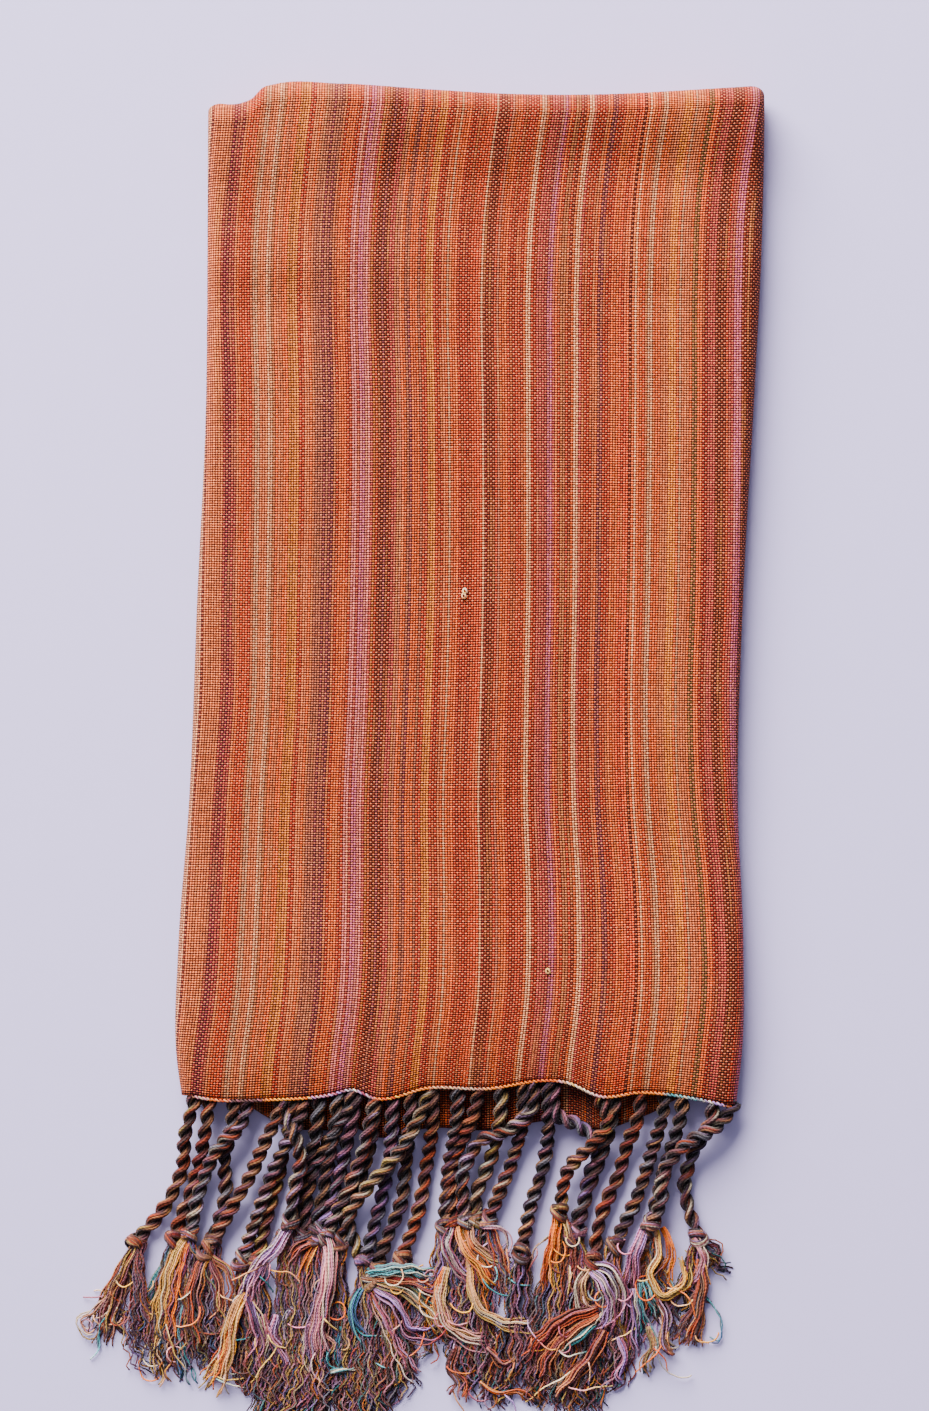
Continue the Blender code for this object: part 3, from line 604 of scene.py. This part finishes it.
def make_cloth_material(name, shade):
    """Plain weave, as the heights of crimped picks and ends that cross: the higher of the two shows, and
    painted shade darkens the low gaps between them.
    """
    shader = Shader(name, 0.85, 0.04, specular=0.10)
    _, across, along = shader.threads()
    end, pick = shader.math("FLOOR", across), shader.math("FLOOR", along)
    in_end, in_pick = shader.math("FRACT", across), shader.math("FRACT", along)
    odd = shader.math("FRACT", shader.math("MULTIPLY", shader.math("ADD", end, pick), 0.5))
    weft_up = shader.math("MULTIPLY_ADD", odd, 4.0, -1.0)

    def crimp(share, sign):
        wave = shader.math("SINE", shader.math("MULTIPLY", share, math.pi))
        return shader.math("MULTIPLY", wave, shader.math("MULTIPLY", weft_up, sign))

    def barrel(share, fall):
        off = shader.math("MULTIPLY_ADD", share, 2.0, -1.0)
        return shader.math("MULTIPLY", shader.math("MULTIPLY", off, off), fall)

    weft_height = shader.math("SUBTRACT", crimp(in_end, 1.0), barrel(in_pick, WEFT_FALL))
    warp_height = shader.math("SUBTRACT", crimp(in_pick, -1.0), barrel(in_end, WARP_FALL))
    height = shader.math("MAXIMUM", weft_height, warp_height)
    weft_shows = shader.math("GREATER_THAN", shader.math("ADD", weft_height, WEFT_LEAD), warp_height)

    share = shader.math("DIVIDE", shader.math("ADD", end, 0.5), float(ENDS))
    warp = shader.mix(WARP_BLEND, warp_colour(shader, share), WARP_GROUND)
    end_random = shader.white_noise(shader.vector(end, 3.0))
    slow = shader.vector(shader.math("MULTIPLY", end, 3.7), shader.math("MULTIPLY", along, 0.016))
    dyed = shader.noise(slow, 1.0)
    warp = shader.mix(shader.map_range(dyed, 0.54, 0.74, 0.0, 0.4), warp, DYE_PALE)
    warp = shader.mix(shader.map_range(dyed, 0.44, 0.28, 0.0, 0.4), warp, DYE_DEEP)
    warp = shader.dim(warp, shader.map_range(end_random, 0.0, 1.0, *END_LIGHT))

    pick_random = shader.white_noise(shader.vector(7.0, pick))
    slow = shader.vector(shader.math("MULTIPLY", across, 0.015), shader.math("MULTIPLY", along, 0.45))
    drift = shader.noise(slow, 1.0)
    weft = shader.mix(shader.map_range(drift, 0.3, 0.7, 0.0, 1.0), WEFT_DEEP, WEFT_PALE)
    weft = shader.dim(weft, shader.map_range(pick_random, 0.0, 1.0, *PICK_LIGHT))
    weft = shader.mix(WEFT_BLEND, weft, warp)

    thread = shader.mix(weft_shows, warp, weft)
    cell_random = shader.white_noise(shader.vector(end, pick))
    thread = shader.dim(thread, shader.map_range(cell_random, 0.0, 1.0, *CELL_LIGHT))
    # Painted shade: the whole colour times shade, which is below 1 for the copy used on the hidden layers in
    # shadow under the hem
    thread = shader.mix(1.0, thread, (shade, shade, shade), "MULTIPLY")
    # Painted shade in the gaps between the threads, where the weave's height is low
    gap_shaded = shader.mix(1.0, thread, GAP_PAINTED_SHADE, "MULTIPLY")
    shader.colour(shader.mix(shader.map_range(height, *GAP_SHADE_RANGE, 0.0, 1.0), gap_shaded, thread))
    shader.bump(height, 0.0004, 0.6)
    return shader.material


def make_yarn_material(name):
    """Spun yarn: the colour given to each vertex, painted shade included, with the twist of its fibres along
    it and painted shade in the twist's grooves.
    """
    shader = Shader(name, 0.75, 0.08)
    attribute = shader.node("ShaderNodeVertexColor", layer_name="yarn")
    place, around_yarn, along_yarn = shader.threads()
    slant = shader.math("MULTIPLY", around_yarn, 2.0)
    turn = shader.math("ADD", shader.math("MULTIPLY", along_yarn, 0.55), slant)
    twist = shader.math("SINE", shader.math("MULTIPLY", turn, 2 * math.pi))
    fuzz = shader.map_range(shader.noise(place, 3.0, 3.0), 0.3, 0.7, -0.12, 0.12)
    # Painted shade: the colour is darker in the grooves of the fibres' twist; the fuzz is a random change in
    # tone
    light = shader.math("ADD", shader.map_range(twist, -1.0, 1.0, 0.72, 1.08), fuzz)
    shader.colour(shader.dim(attribute.outputs[0], light))
    shader.bump(twist, 0.0002, 0.5)
    return shader.material


def grid_quads(rows, columns, closed=False):
    """The faces of a grid of vertices, as indices."""
    i, j = np.meshgrid(np.arange(rows - 1), np.arange(columns if closed else columns - 1), indexing="ij")
    after = (j + 1) % columns
    a, b = i * columns + j, i * columns + after
    c, d = (i + 1) * columns + after, (i + 1) * columns + j
    return np.stack([a, b, c, d], axis=-1).reshape(-1, 4)


def make_cloth(material):
    """The layer on top: a section with a roll at each side, swept from the hem round the far fold."""
    roll_columns, flat_columns = 12, 118
    roll = np.linspace(90.0, 0.0, roll_columns, endpoint=False)
    side_turn = np.radians(np.concatenate([roll, np.zeros(flat_columns), roll[::-1]]))
    on_roll = np.ones(roll_columns)
    flat_share = np.concatenate([on_roll * 0, np.linspace(0, 1, flat_columns), on_roll])
    side = np.concatenate([-on_roll, np.zeros(flat_columns), on_roll])

    flat_rows, nose_rows = 190, 22
    row_share = np.concatenate([np.linspace(0, 1, flat_rows), np.ones(nose_rows)])
    nose = np.radians(np.concatenate([np.zeros(flat_rows), np.linspace(0, FAR_ROLL_END, nose_rows + 1)[1:]]))

    points = np.zeros((len(row_share), len(side), 3))
    threads = np.zeros((len(row_share), len(side), 2))
    roll_ends = SIDE_ROLL_ARC / END_PITCH
    for row, (share, turn) in enumerate(zip(row_share, nose)):
        across = np.zeros(len(side))
        for _ in range(3):
            hem = smooth(HEM, "along", across)
            far = smooth(FAR_FOLD, "along", across) - FAR_ROLL
            along = hem + share * (far - hem)
            left, right = smooth(SECTIONS, "left", along), smooth(SECTIONS, "right", along)
            across = left + SIDE_ROLL + flat_share * (right - left - 2 * SIDE_ROLL)
        height = top_height(across, along)
        depth = height * SIDE_ROLL_SHARE * (1 - np.cos(side_turn)) * np.cos(turn / 2)
        out = SIDE_ROLL * np.sin(side_turn)
        nose_half = height / 2
        points[row, :, 0] = across + side * out
        points[row, :, 1] = along + (FAR_ROLL - depth * 0.6) * math.sin(turn)
        points[row, :, 2] = nose_half + (nose_half - depth) * math.cos(turn) if turn else height - depth
        wander = 0.35 * np.sin(along / 47.0 + across / 29.0) * np.sin(math.pi * flat_share)
        threads[row, :, 0] = end_at(across, along) + side * side_turn / (math.pi / 2) * roll_ends + wander
        hem_pull = np.exp(-(along - hem) / HEM_PULL_RUN)
        bow = 1.1 * np.sin(across / 38.0 + along / 71.0)
        threads[row, :, 1] = (along - hem * hem_pull + bow) / PICK_PITCH + turn * FAR_ROLL_ARC / PICK_PITCH
    quads = grid_quads(len(row_share), len(side))
    uv = threads.reshape(-1, 2)[quads.reshape(-1)]
    piece = make_piece("cloth_top", points.reshape(-1, 3), quads, material, uv=uv)
    wall = piece.modifiers.new("wall", "SOLIDIFY")
    wall.thickness = CLOTH_THICK * MM
    wall.offset = -1.0
    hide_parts("top_panel")
    return piece


def stack_profile():
    """Rows of level, side inset, hem inset and lip share, from the top of the stack to its foot."""
    rows = []
    for index, layer in enumerate(LAYERS):
        for step in range(LAYER_STEPS):
            turn = math.pi * (0.04 + 0.92 * step / (LAYER_STEPS - 1))
            level = (layer.low + layer.high) / 2 + (layer.high - layer.low) / 2 * math.cos(turn)
            groove = GROOVE * (1 - math.sin(turn))
            rows.append((level, groove - layer.side_out, groove - layer.hem_out, 0.0 if index < 2 else 1.0))
    return rows


def far_end(level, across):
    """How far along the hidden layers go at a level, inside the roll of the far fold."""
    along = smooth(FAR_FOLD, "along", across) - FAR_ROLL
    lean = 2 * level * smooth(RISES, "height", along) / top_height(across, along) - 1
    from_side = np.minimum(across - across.min(), across.max() - across)
    corner = FAR_CORNER * np.clip(1 - from_side / SIDE_ROLL, 0, 1) ** 2
    return along + (FAR_ROLL - FAR_INSET - corner) * np.sqrt(np.maximum(1 - lean * lean, 0))


def make_layers(material):
    """The hidden layers under the top one: their folded edges, the hems' end, and the first fold's lip."""
    side_points, end_points = 150, 120
    v = np.linspace(0, 1, side_points)
    u = np.linspace(0, 1, end_points)
    rings = []
    near, far = SECTIONS[0], SECTIONS[-1]
    lip_levels = [row[0] for row in stack_profile() if row[3]]
    for level, side_in, hem_in, lip in stack_profile():
        if lip:
            nose = (level - lip_levels[-1]) / (lip_levels[0] - lip_levels[-1]) * 2 - 1
            hem_in = LIP_ROUND * (1 - math.sqrt(max(0.0, 1 - nose * nose)))
        near_x = between(near.left + side_in, near.right - side_in, u)
        near_y = smooth(HEM, "along", near_x) + hem_in - lip * smooth(LIP, "reach", near_x)
        far_x = between(far.left + side_in, far.right - side_in, u)
        far_y = far_end(level, far_x)
        right_y = between(near_y[-1], far_y[-1], v)[1:-1]
        left_y = between(near_y[0], far_y[0], v)[1:-1]
        bulge = 0.35 * np.sin(right_y / 17.0 + level * 9.0)
        right_x = smooth(SECTIONS, "right", right_y) - side_in + bulge
        left_x = smooth(SECTIONS, "left", left_y) + side_in + bulge
        x = np.concatenate([near_x, right_x, far_x[::-1], left_x[::-1]])
        y = np.concatenate([near_y, right_y, far_y[::-1], left_y[::-1]])
        z = level * smooth(RISES, "height", y)
        rings.append(np.stack([x, y, z], axis=1))
    points = np.array(rings)
    rows, columns = points.shape[:2]
    step = np.linalg.norm(np.diff(points, axis=0), axis=2)
    arc = np.concatenate([np.zeros((1, columns)), np.cumsum(step, axis=0)])
    on_side = np.zeros(columns, bool)
    on_side[end_points : end_points + side_points - 2] = True
    on_side[-(side_points - 2) :] = True
    share = (points[..., 0] - near.left) / LAYER_WIDTH * ENDS
    across = np.where(on_side, arc / END_PITCH + 3.0, share)
    along = np.where(on_side, points[..., 1] / PICK_PITCH, arc / PICK_PITCH)
    threads = np.stack([across, along], axis=-1).reshape(-1, 2)
    quads = grid_quads(rows, columns, closed=True)[:, ::-1]
    uv = threads[quads.reshape(-1)]
    top, foot = np.arange(columns), np.arange(columns)[::-1] + (rows - 1) * columns
    flat = points.reshape(-1, 3)
    faces = quads.tolist() + [top.tolist(), foot.tolist()]
    uv = np.concatenate([uv, flat[top][:, :2] / PICK_PITCH, flat[foot][:, :2] / PICK_PITCH])
    piece = make_piece("folded_layers", flat, faces, material, uv=uv)
    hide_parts("inner_layers")
    return piece


class Strands:
    """Many thin yarns, gathered into one mesh."""

    def __init__(self):
        self.points, self.quads, self.uv, self.colour = [], [], [], []
        self.places = []
        self.count = 0

    def add(self, path, radius, colour, sides=5):
        """A thin tube along a path, above the floor and closed at both ends, with a colour for each ring."""
        path = np.column_stack([path[:, :2], np.maximum(path[:, 2], radius * 1.05)])
        side, normal, _ = side_and_normal(path)
        rings = len(path)
        turn = np.linspace(0, 2 * math.pi, sides, endpoint=False)[None, :, None]
        round_ = side[:, None] * np.cos(turn) + normal[:, None] * np.sin(turn)
        points = path[:, None] + round_ * radius
        quads = grid_quads(rings, sides, closed=True)
        length = length_along(path)
        row, column = np.divmod(quads[:, 0], sides)
        steps = ((0, 0), (1, 0), (1, 1), (0, 1))
        corner = np.stack([
            np.stack([(column + right) / sides, length[row + on]], 1) for right, on in steps
        ], axis=1)
        last = (rings - 1) * sides
        cap = np.arange(sides) + self.count
        caps = [cap.tolist(), (cap[::-1] + last).tolist()]
        self.points.append(points.reshape(-1, 3))
        self.quads += (quads[:, ::-1] + self.count).tolist() + caps
        self.uv.append(np.concatenate([corner[:, ::-1].reshape(-1, 2), np.zeros((2 * sides, 2))]))
        self.colour.append(np.repeat(colour, sides, axis=0))
        self.count += rings * sides

    def build(self, name, material, replaced=()):
        points, uv, colour = (np.concatenate(rows) for rows in (self.points, self.uv, self.colour))
        piece = make_piece(name, points, self.quads, material, uv=uv, colour=colour)
        if replaced:
            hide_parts(*replaced)
        return piece


def curve_through(points, step):
    """Points a step apart on a smooth curve through the given ones."""
    points = np.array(points, float)
    chord = length_along(points)
    curve = read_curve(chord, points, np.linspace(0, chord[-1], max(8, int(chord[-1] / step * 3))))
    length = length_along(curve)
    even = np.linspace(0, length[-1], max(4, int(length[-1] / step) + 1))
    return np.stack([np.interp(even, length, curve[:, k]) for k in range(curve.shape[1])], axis=1)


def from_photo(route):
    """A route in the photo's pixels as places across and along the packet."""
    shift = (np.array(route, float) - ORIGIN_PX) * PIXEL
    return shift * [1, -1]


def dyed(family, rings, step, change=12.0, shade=1.0):
    """A space-dyed yarn's colours along its length, which change about as often as given."""
    count = int(rings * step / change) + 3
    stops = np.array([YARNS[yarn] for yarn in random.choice(FAMILIES[family], count)])
    stops = np.minimum(stops * random.uniform(0.75, 1.3, (count, 1)) * shade, 1.0)
    where = np.linspace(random.random(), count - 1.5, rings)
    return np.stack([np.interp(where, np.arange(count), stops[:, k]) for k in range(3)], axis=1)


def cord_middle(cord):
    """The middle line of a cord, from under the hem, over the lip and down to the floor."""
    route = from_photo(cord.route)
    root = np.array([route[0, 0] + (route[0, 0] - route[1, 0]) * 0.15, 0.0])
    root[1] = smooth(HEM, "along", root[0]) + CORD_ROOT
    route = np.concatenate([[root], route[route[:, 1] < root[1] - 3.0]])
    flat = curve_through(route, CORD_STEP)
    out = root[1] - flat[:, 1]
    height = np.interp(out, [row.out for row in DROPS], [cord.start] + [row.height for row in DROPS[1:]])
    rise, settle = np.clip((out - 8) / 18, 0, 1), np.clip((78 - out) / 30, 0, 1)
    lift = cord.lift * CORD_LIFT * settle * rise
    return np.column_stack([flat, height + lift])


def around(path, side, normal, turn, offset):
    """A path's points moved off it, each by its own turn round it."""
    out = side * np.cos(turn)[:, None] + normal * np.sin(turn)[:, None]
    return path + out * np.reshape(offset, (-1, 1))


def add_cord(strands, cord):
    """Two plies twisted round each other, of yarns with painted shade where the plies meet and near the hem,
    and a painted highlight on the cord's top.
    """
    path = cord_middle(cord)
    side, normal, _ = side_and_normal(path)
    length = length_along(path)
    start = random.uniform(0, 2 * math.pi)
    pitch = CORD_PITCH * random.uniform(0.85, 1.2)
    swell = 1 + 0.07 * np.sin(length / 5.3 + start) + 0.05 * np.sin(length / 2.9)
    for ply in range(2):
        turn = start + ply * math.pi - 2 * math.pi * length / pitch + 0.25 * np.sin(length / 9.0 + ply)
        middle = around(path, side, normal, turn, PLY_OFFSET * swell)
        for k in range(STRANDS):
            spin = turn * 0.4 + 2 * math.pi * k / STRANDS
            yarn = around(middle, side, normal, spin, STRAND_OFFSET * swell)
            off = (yarn - path) / (PLY_OFFSET + STRAND_OFFSET)
            out, up = np.linalg.norm(off, axis=1), np.clip(off[:, 2], 0, 1)
            # Painted shade and light: yarns near the cord's middle, where the plies meet, are darker and
            # those on top lighter, and the first 38 mm from the hem are darkened as a painted shadow of the
            # cloth. The low factors also make the yarns' own colour darker.
            shade = (0.05 + 0.40 * np.clip(out, 0, 1) ** 3) * (0.6 + 0.4 * up)
            shade = shade * np.interp(length, [6.0, 22.0, 38.0], [0.6, 0.8, 1.0])
            colour = dyed(cord.family, len(path), CORD_STEP, 4.0) * shade[:, None]
            strands.add(yarn, STRAND_RADIUS, np.minimum(colour, 1.0), sides=4)
    add_knot(strands, path, cord.family)


def add_knot(strands, path, family):
    """A knot at a cord's end: two tilted rounds of yarns that cross."""
    side, normal, tangent = (axis[-1] for axis in side_and_normal(path))
    centre = path[-1] + tangent * 1.0
    centre[2] = max(centre[2], KNOT_HEIGHT)
    first = random.uniform(0, 2 * math.pi)
    for round_, (shift, tilt) in enumerate(((-1.0, 0.0), (1.2, 2.3))):
        for k in range(KNOT_YARNS):
            turn = np.linspace(0, 2 * math.pi * 1.04, KNOT_RINGS) + first + round_ * 1.3
            across = (k - 2.5) / 2.5
            reach = KNOT_REACH + 0.75 * math.sqrt(1 - 0.8 * across * across) + 0.25 * round_
            coil = centre + reach * (side * np.cos(turn)[:, None] * 1.12 + normal * np.sin(turn)[:, None])
            coil = coil + tangent * (shift + across * 1.35 + 2.1 * np.cos(turn + first + tilt))[:, None]
            # Painted shade: each round's yarns are darker towards its edges; the 0.5 also darkens the yarns'
            # own colour
            colour = dyed(family, KNOT_RINGS, 0.8, 5.0) * (0.50 - 0.3 * across * across)
            strands.add(coil, KNOT_YARN_RADIUS, np.minimum(colour, 1.0), sides=4)


def add_lock(strands, lock, sides=4, step=1.7, flare=1.0, shade=0.75, radius=YARN_RADIUS, wavy=1.0):
    """A lock of a tassel: wavy yarns that lie together and part towards their ends."""
    flat = curve_through(from_photo(lock.route), step)
    count = len(flat)
    share = np.linspace(0, 1, count)
    height = np.interp(share, [0, 0.3, 0.75, 1.0], [min(5.5, lock.high), lock.high, lock.high * 0.6, 1.4])
    path = np.column_stack([flat, height])
    side, normal, _ = side_and_normal(path)
    length = share * count * step
    size = 0.5 * math.sqrt(lock.yarns)
    phase = random.uniform(0, 2 * math.pi)
    wave_length = random.uniform(9.0, 16.0)
    for _ in range(lock.yarns):
        reach, angle = math.sqrt(random.random()), random.uniform(0, 2 * math.pi)
        turn = angle + share * random.uniform(0.2, 1.6)
        spread = size * reach * np.interp(share, [0, 0.12, 0.5, 1.0], [0.7, 0.95, 1.15, 1.25 + 0.7 * flare])
        own = phase + random.uniform(-1.5, 1.5)
        wave = wavy * (0.28 + 0.5 * flare * share ** 2) * np.sin(2 * math.pi * length / wave_length + own)
        drift = random.normal(0, 2.0) * flare * share ** 3
        yarn = path + side * (spread * np.cos(turn) * 1.35 + wave + drift)[:, None]
        yarn = yarn + normal * (spread * np.sin(turn) * 0.75 + 0.3 * wave)[:, None]
        last = max(int(count * random.uniform(0.8, 1.0)), 4)
        # Painted light and shade: yarns on the upper side of the lock are lighter, those on its under side
        # darker
        colour = dyed(lock.family, count, step, 26.0, shade * (0.8 + 0.25 * math.sin(angle)))
        strands.add(yarn[:last], radius, colour[:last], sides=sides)
        strands.places.append(yarn[random.integers(count // 3, last)])


def add_curls(strands, places):
    """Single yarns that have come loose and curl on top of the tassels."""
    for _ in range(CURLS):
        start = places[random.integers(len(places))]
        steps = random.integers(10, 28)
        heading = random.uniform(-2.7, -0.4)
        heading = heading + np.cumsum(random.normal(0, 0.16) + random.normal(0, 0.12, steps))
        flat = start[:2] + np.cumsum(np.column_stack([np.cos(heading), np.sin(heading)]), axis=0)
        share = np.linspace(0, 1, steps)
        height = np.interp(share, [0, 0.25, 1], [start[2], start[2] + 1.5, max(start[2] - 3.0, 1.0)])
        family = CURL_FAMILIES[random.integers(len(CURL_FAMILIES))]
        strands.add(np.column_stack([flat, height]), YARN_RADIUS, dyed(family, steps, 1.0, 20.0), sides=4)


def add_hidden_locks(strands, cord):
    """The locks that lie under the ones that show, from a cord's knot to the tassels' edge, darkened with
    painted shade.
    """
    knot = np.array(cord.route[-1], float)
    for _ in range(HIDDEN_LOCKS):
        end_across = knot[0] + random.normal(-5, 16)
        low = float(smooth(TANGLE_EDGE, "low", end_across)) - random.uniform(2, 34)
        end = np.array([end_across, max(low, knot[1] + 40)])
        bend = between(knot, end, 0.3) + (random.normal(0, 6), 0)
        middle = between(knot, end, 0.68) + (random.normal(0, 8), 0)
        route = (tuple(knot + (random.normal(0, 3), 2)), tuple(bend), tuple(middle), tuple(end))
        lock = Lock("tangle", HIDDEN_YARNS, random.uniform(2.0, 6.0), route)
        # Painted shade: these locks lie under the ones that show, and shade=0.38 darkens their colour for it
        add_lock(strands, lock, sides=3, step=2.4, flare=1.3, shade=0.38, radius=0.44, wavy=2.4)


def make_fringe(material):
    """All cords and tassels. The cords of each end stand for its solid."""
    pieces = []
    for level, start in (("upper", UPPER), ("lower", LOWER)):
        strands = Strands()
        for cord in CORDS:
            if cord.start == start:
                add_cord(strands, cord)
        pieces.append(strands.build(f"cords_{level}", material, (f"fringe_{level}_end",)))
    half = len(LOCKS) // 2
    for name, locks in (("tassels_left", LOCKS[:half]), ("tassels_right", LOCKS[half:])):
        strands = Strands()
        for lock in locks:
            add_lock(strands, lock._replace(yarns=lock.yarns * 2))
        add_curls(strands, strands.places)
        pieces.append(strands.build(name, material))
    half = len(CORDS) // 2
    for name, cords in (("tangle_left", CORDS[:half]), ("tangle_right", CORDS[half:])):
        strands = Strands()
        for cord in cords:
            add_hidden_locks(strands, cord)
        pieces.append(strands.build(name, material))
    return pieces


def make_hem_yarn(material):
    """The thin twisted yarn along the hem, and the slubs in the cloth."""
    strands = Strands()
    for part in HEM_YARN:
        first, last = ((px - ORIGIN_PX[0]) * PIXEL for px in (part.first, part.last + 4))
        across = np.arange(first, last, HEM_YARN_STEP)
        across = across[(across > HEM_YARN_LEFT) & (across < HEM_YARN_RIGHT)]
        edge = smooth(HEM, "along", across)
        fall = np.maximum(np.abs(across + 5.0) - 120.5, 0) ** 2 * 0.045
        for k in range(2):
            turn = across / HEM_YARN_TWIST + k * math.pi
            high = top_height(across, edge) - 0.4 - fall + 0.5 * np.sin(turn)
            path = np.column_stack([across, edge - 0.2 + 0.5 * np.cos(turn), high])
            strands.add(path, HEM_YARN_RADIUS, dyed(part.family, len(path), 0.6, 8.0))
    for place in SLUBS:
        middle = from_photo([place])[0]
        turn = np.linspace(0, 5.0, 18)
        path = np.column_stack([
            middle[0] + 0.9 * np.cos(turn),
            middle[1] + 1.5 * np.sin(turn) + 0.3 * turn,
            top_height(middle[0], middle[1]) + 0.5 + 0.25 * np.sin(turn * 2),
        ])
        strands.add(path, SLUB_RADIUS, dyed("yellow", len(path), 0.8, 8.0))
    return strands.build("hem_yarn", material)


def plain_material(name, colour, roughness):
    """A pale matt surface with a faint grain."""
    shader = Shader(name, roughness, 0.0)
    place = shader.node("ShaderNodeTexCoord").outputs["Object"]
    grain = shader.noise(place, 60.0, 4.0)
    low = tuple(c * 0.97 for c in colour)
    shader.colour(shader.mix(grain, low, colour))
    return shader.material


def make_floor():
    mesh = bpy.data.meshes.new("floor")
    signs = ((-1, -1), (1, -1), (1, 1), (-1, 1))
    mesh.from_pydata([(x * FLOOR_HALF, y * FLOOR_HALF, 0) for x, y in signs], [], [(0, 1, 2, 3)])
    mesh.materials.append(plain_material("pale floor", FLOOR_COLOUR, 0.9))
    floor = add_object("floor", mesh)


def make_light(name, place, target, size, power, colour):
    light = bpy.data.lights.new(name, "AREA")
    light.shape = "DISK"
    light.size = size
    light.energy = power
    light.color = colour
    lamp = add_object(name, light)
    lamp.location = place
    lamp.rotation_euler = (Vector(target) - Vector(place)).to_track_quat("-Z", "Y").to_euler()


def make_lights():
    """A large soft key from beyond the far fold and to the left, at about 29 degrees, and a weak fill."""
    middle = ORIGIN + np.array([0, 200, 0]) * MM
    make_light("key", middle + np.array([-1.5, 3.1, 1.9]), middle, 3.6, KEY_POWER, (1.0, 0.96, 0.95))
    make_light("fill", middle + np.array([-0.5, 0.2, 2.2]), middle, 2.4, FILL_POWER, (0.90, 0.90, 1.0))
    world = bpy.data.worlds.new("studio")
    world.use_nodes = True
    background = world.node_tree.nodes["Background"]
    background.inputs["Color"].default_value = (0.80, 0.80, 1.0, 1.0)
    background.inputs["Strength"].default_value = STUDIO
    bpy.context.scene.world = world


def make_camera():
    """Straight above the middle of the photo's frame, which it fills as the photo does."""
    distance = 1.9
    sheet_height = 0.016
    middle = from_photo([(PHOTO_SIZE[0] / 2, PHOTO_SIZE[1] / 2)])[0]
    camera = bpy.data.cameras.new("camera")
    camera.sensor_width = 36.0
    camera.lens = camera.sensor_width * distance / (PHOTO_SIZE[1] * PIXEL * MM)
    lens = add_object("camera", camera)
    lens.location = ORIGIN + np.array([middle[0] * MM, middle[1] * MM, sheet_height + distance])
    bpy.context.scene.camera = lens


make_camera()
make_lights()
make_floor()
cloth_material = make_cloth_material("handwoven cloth", 1.0)
# A darker copy of the cloth: painted shade for the hidden layers, which lie in the shadow under the hem
shaded_layers_material = make_cloth_material("handwoven cloth, painted in shade", 0.40)
yarn_material = make_yarn_material("spun yarn")
cloth = make_cloth(cloth_material)
layers = make_layers(shaded_layers_material)
hem_yarn = make_hem_yarn(yarn_material)
fringe = make_fringe(yarn_material)
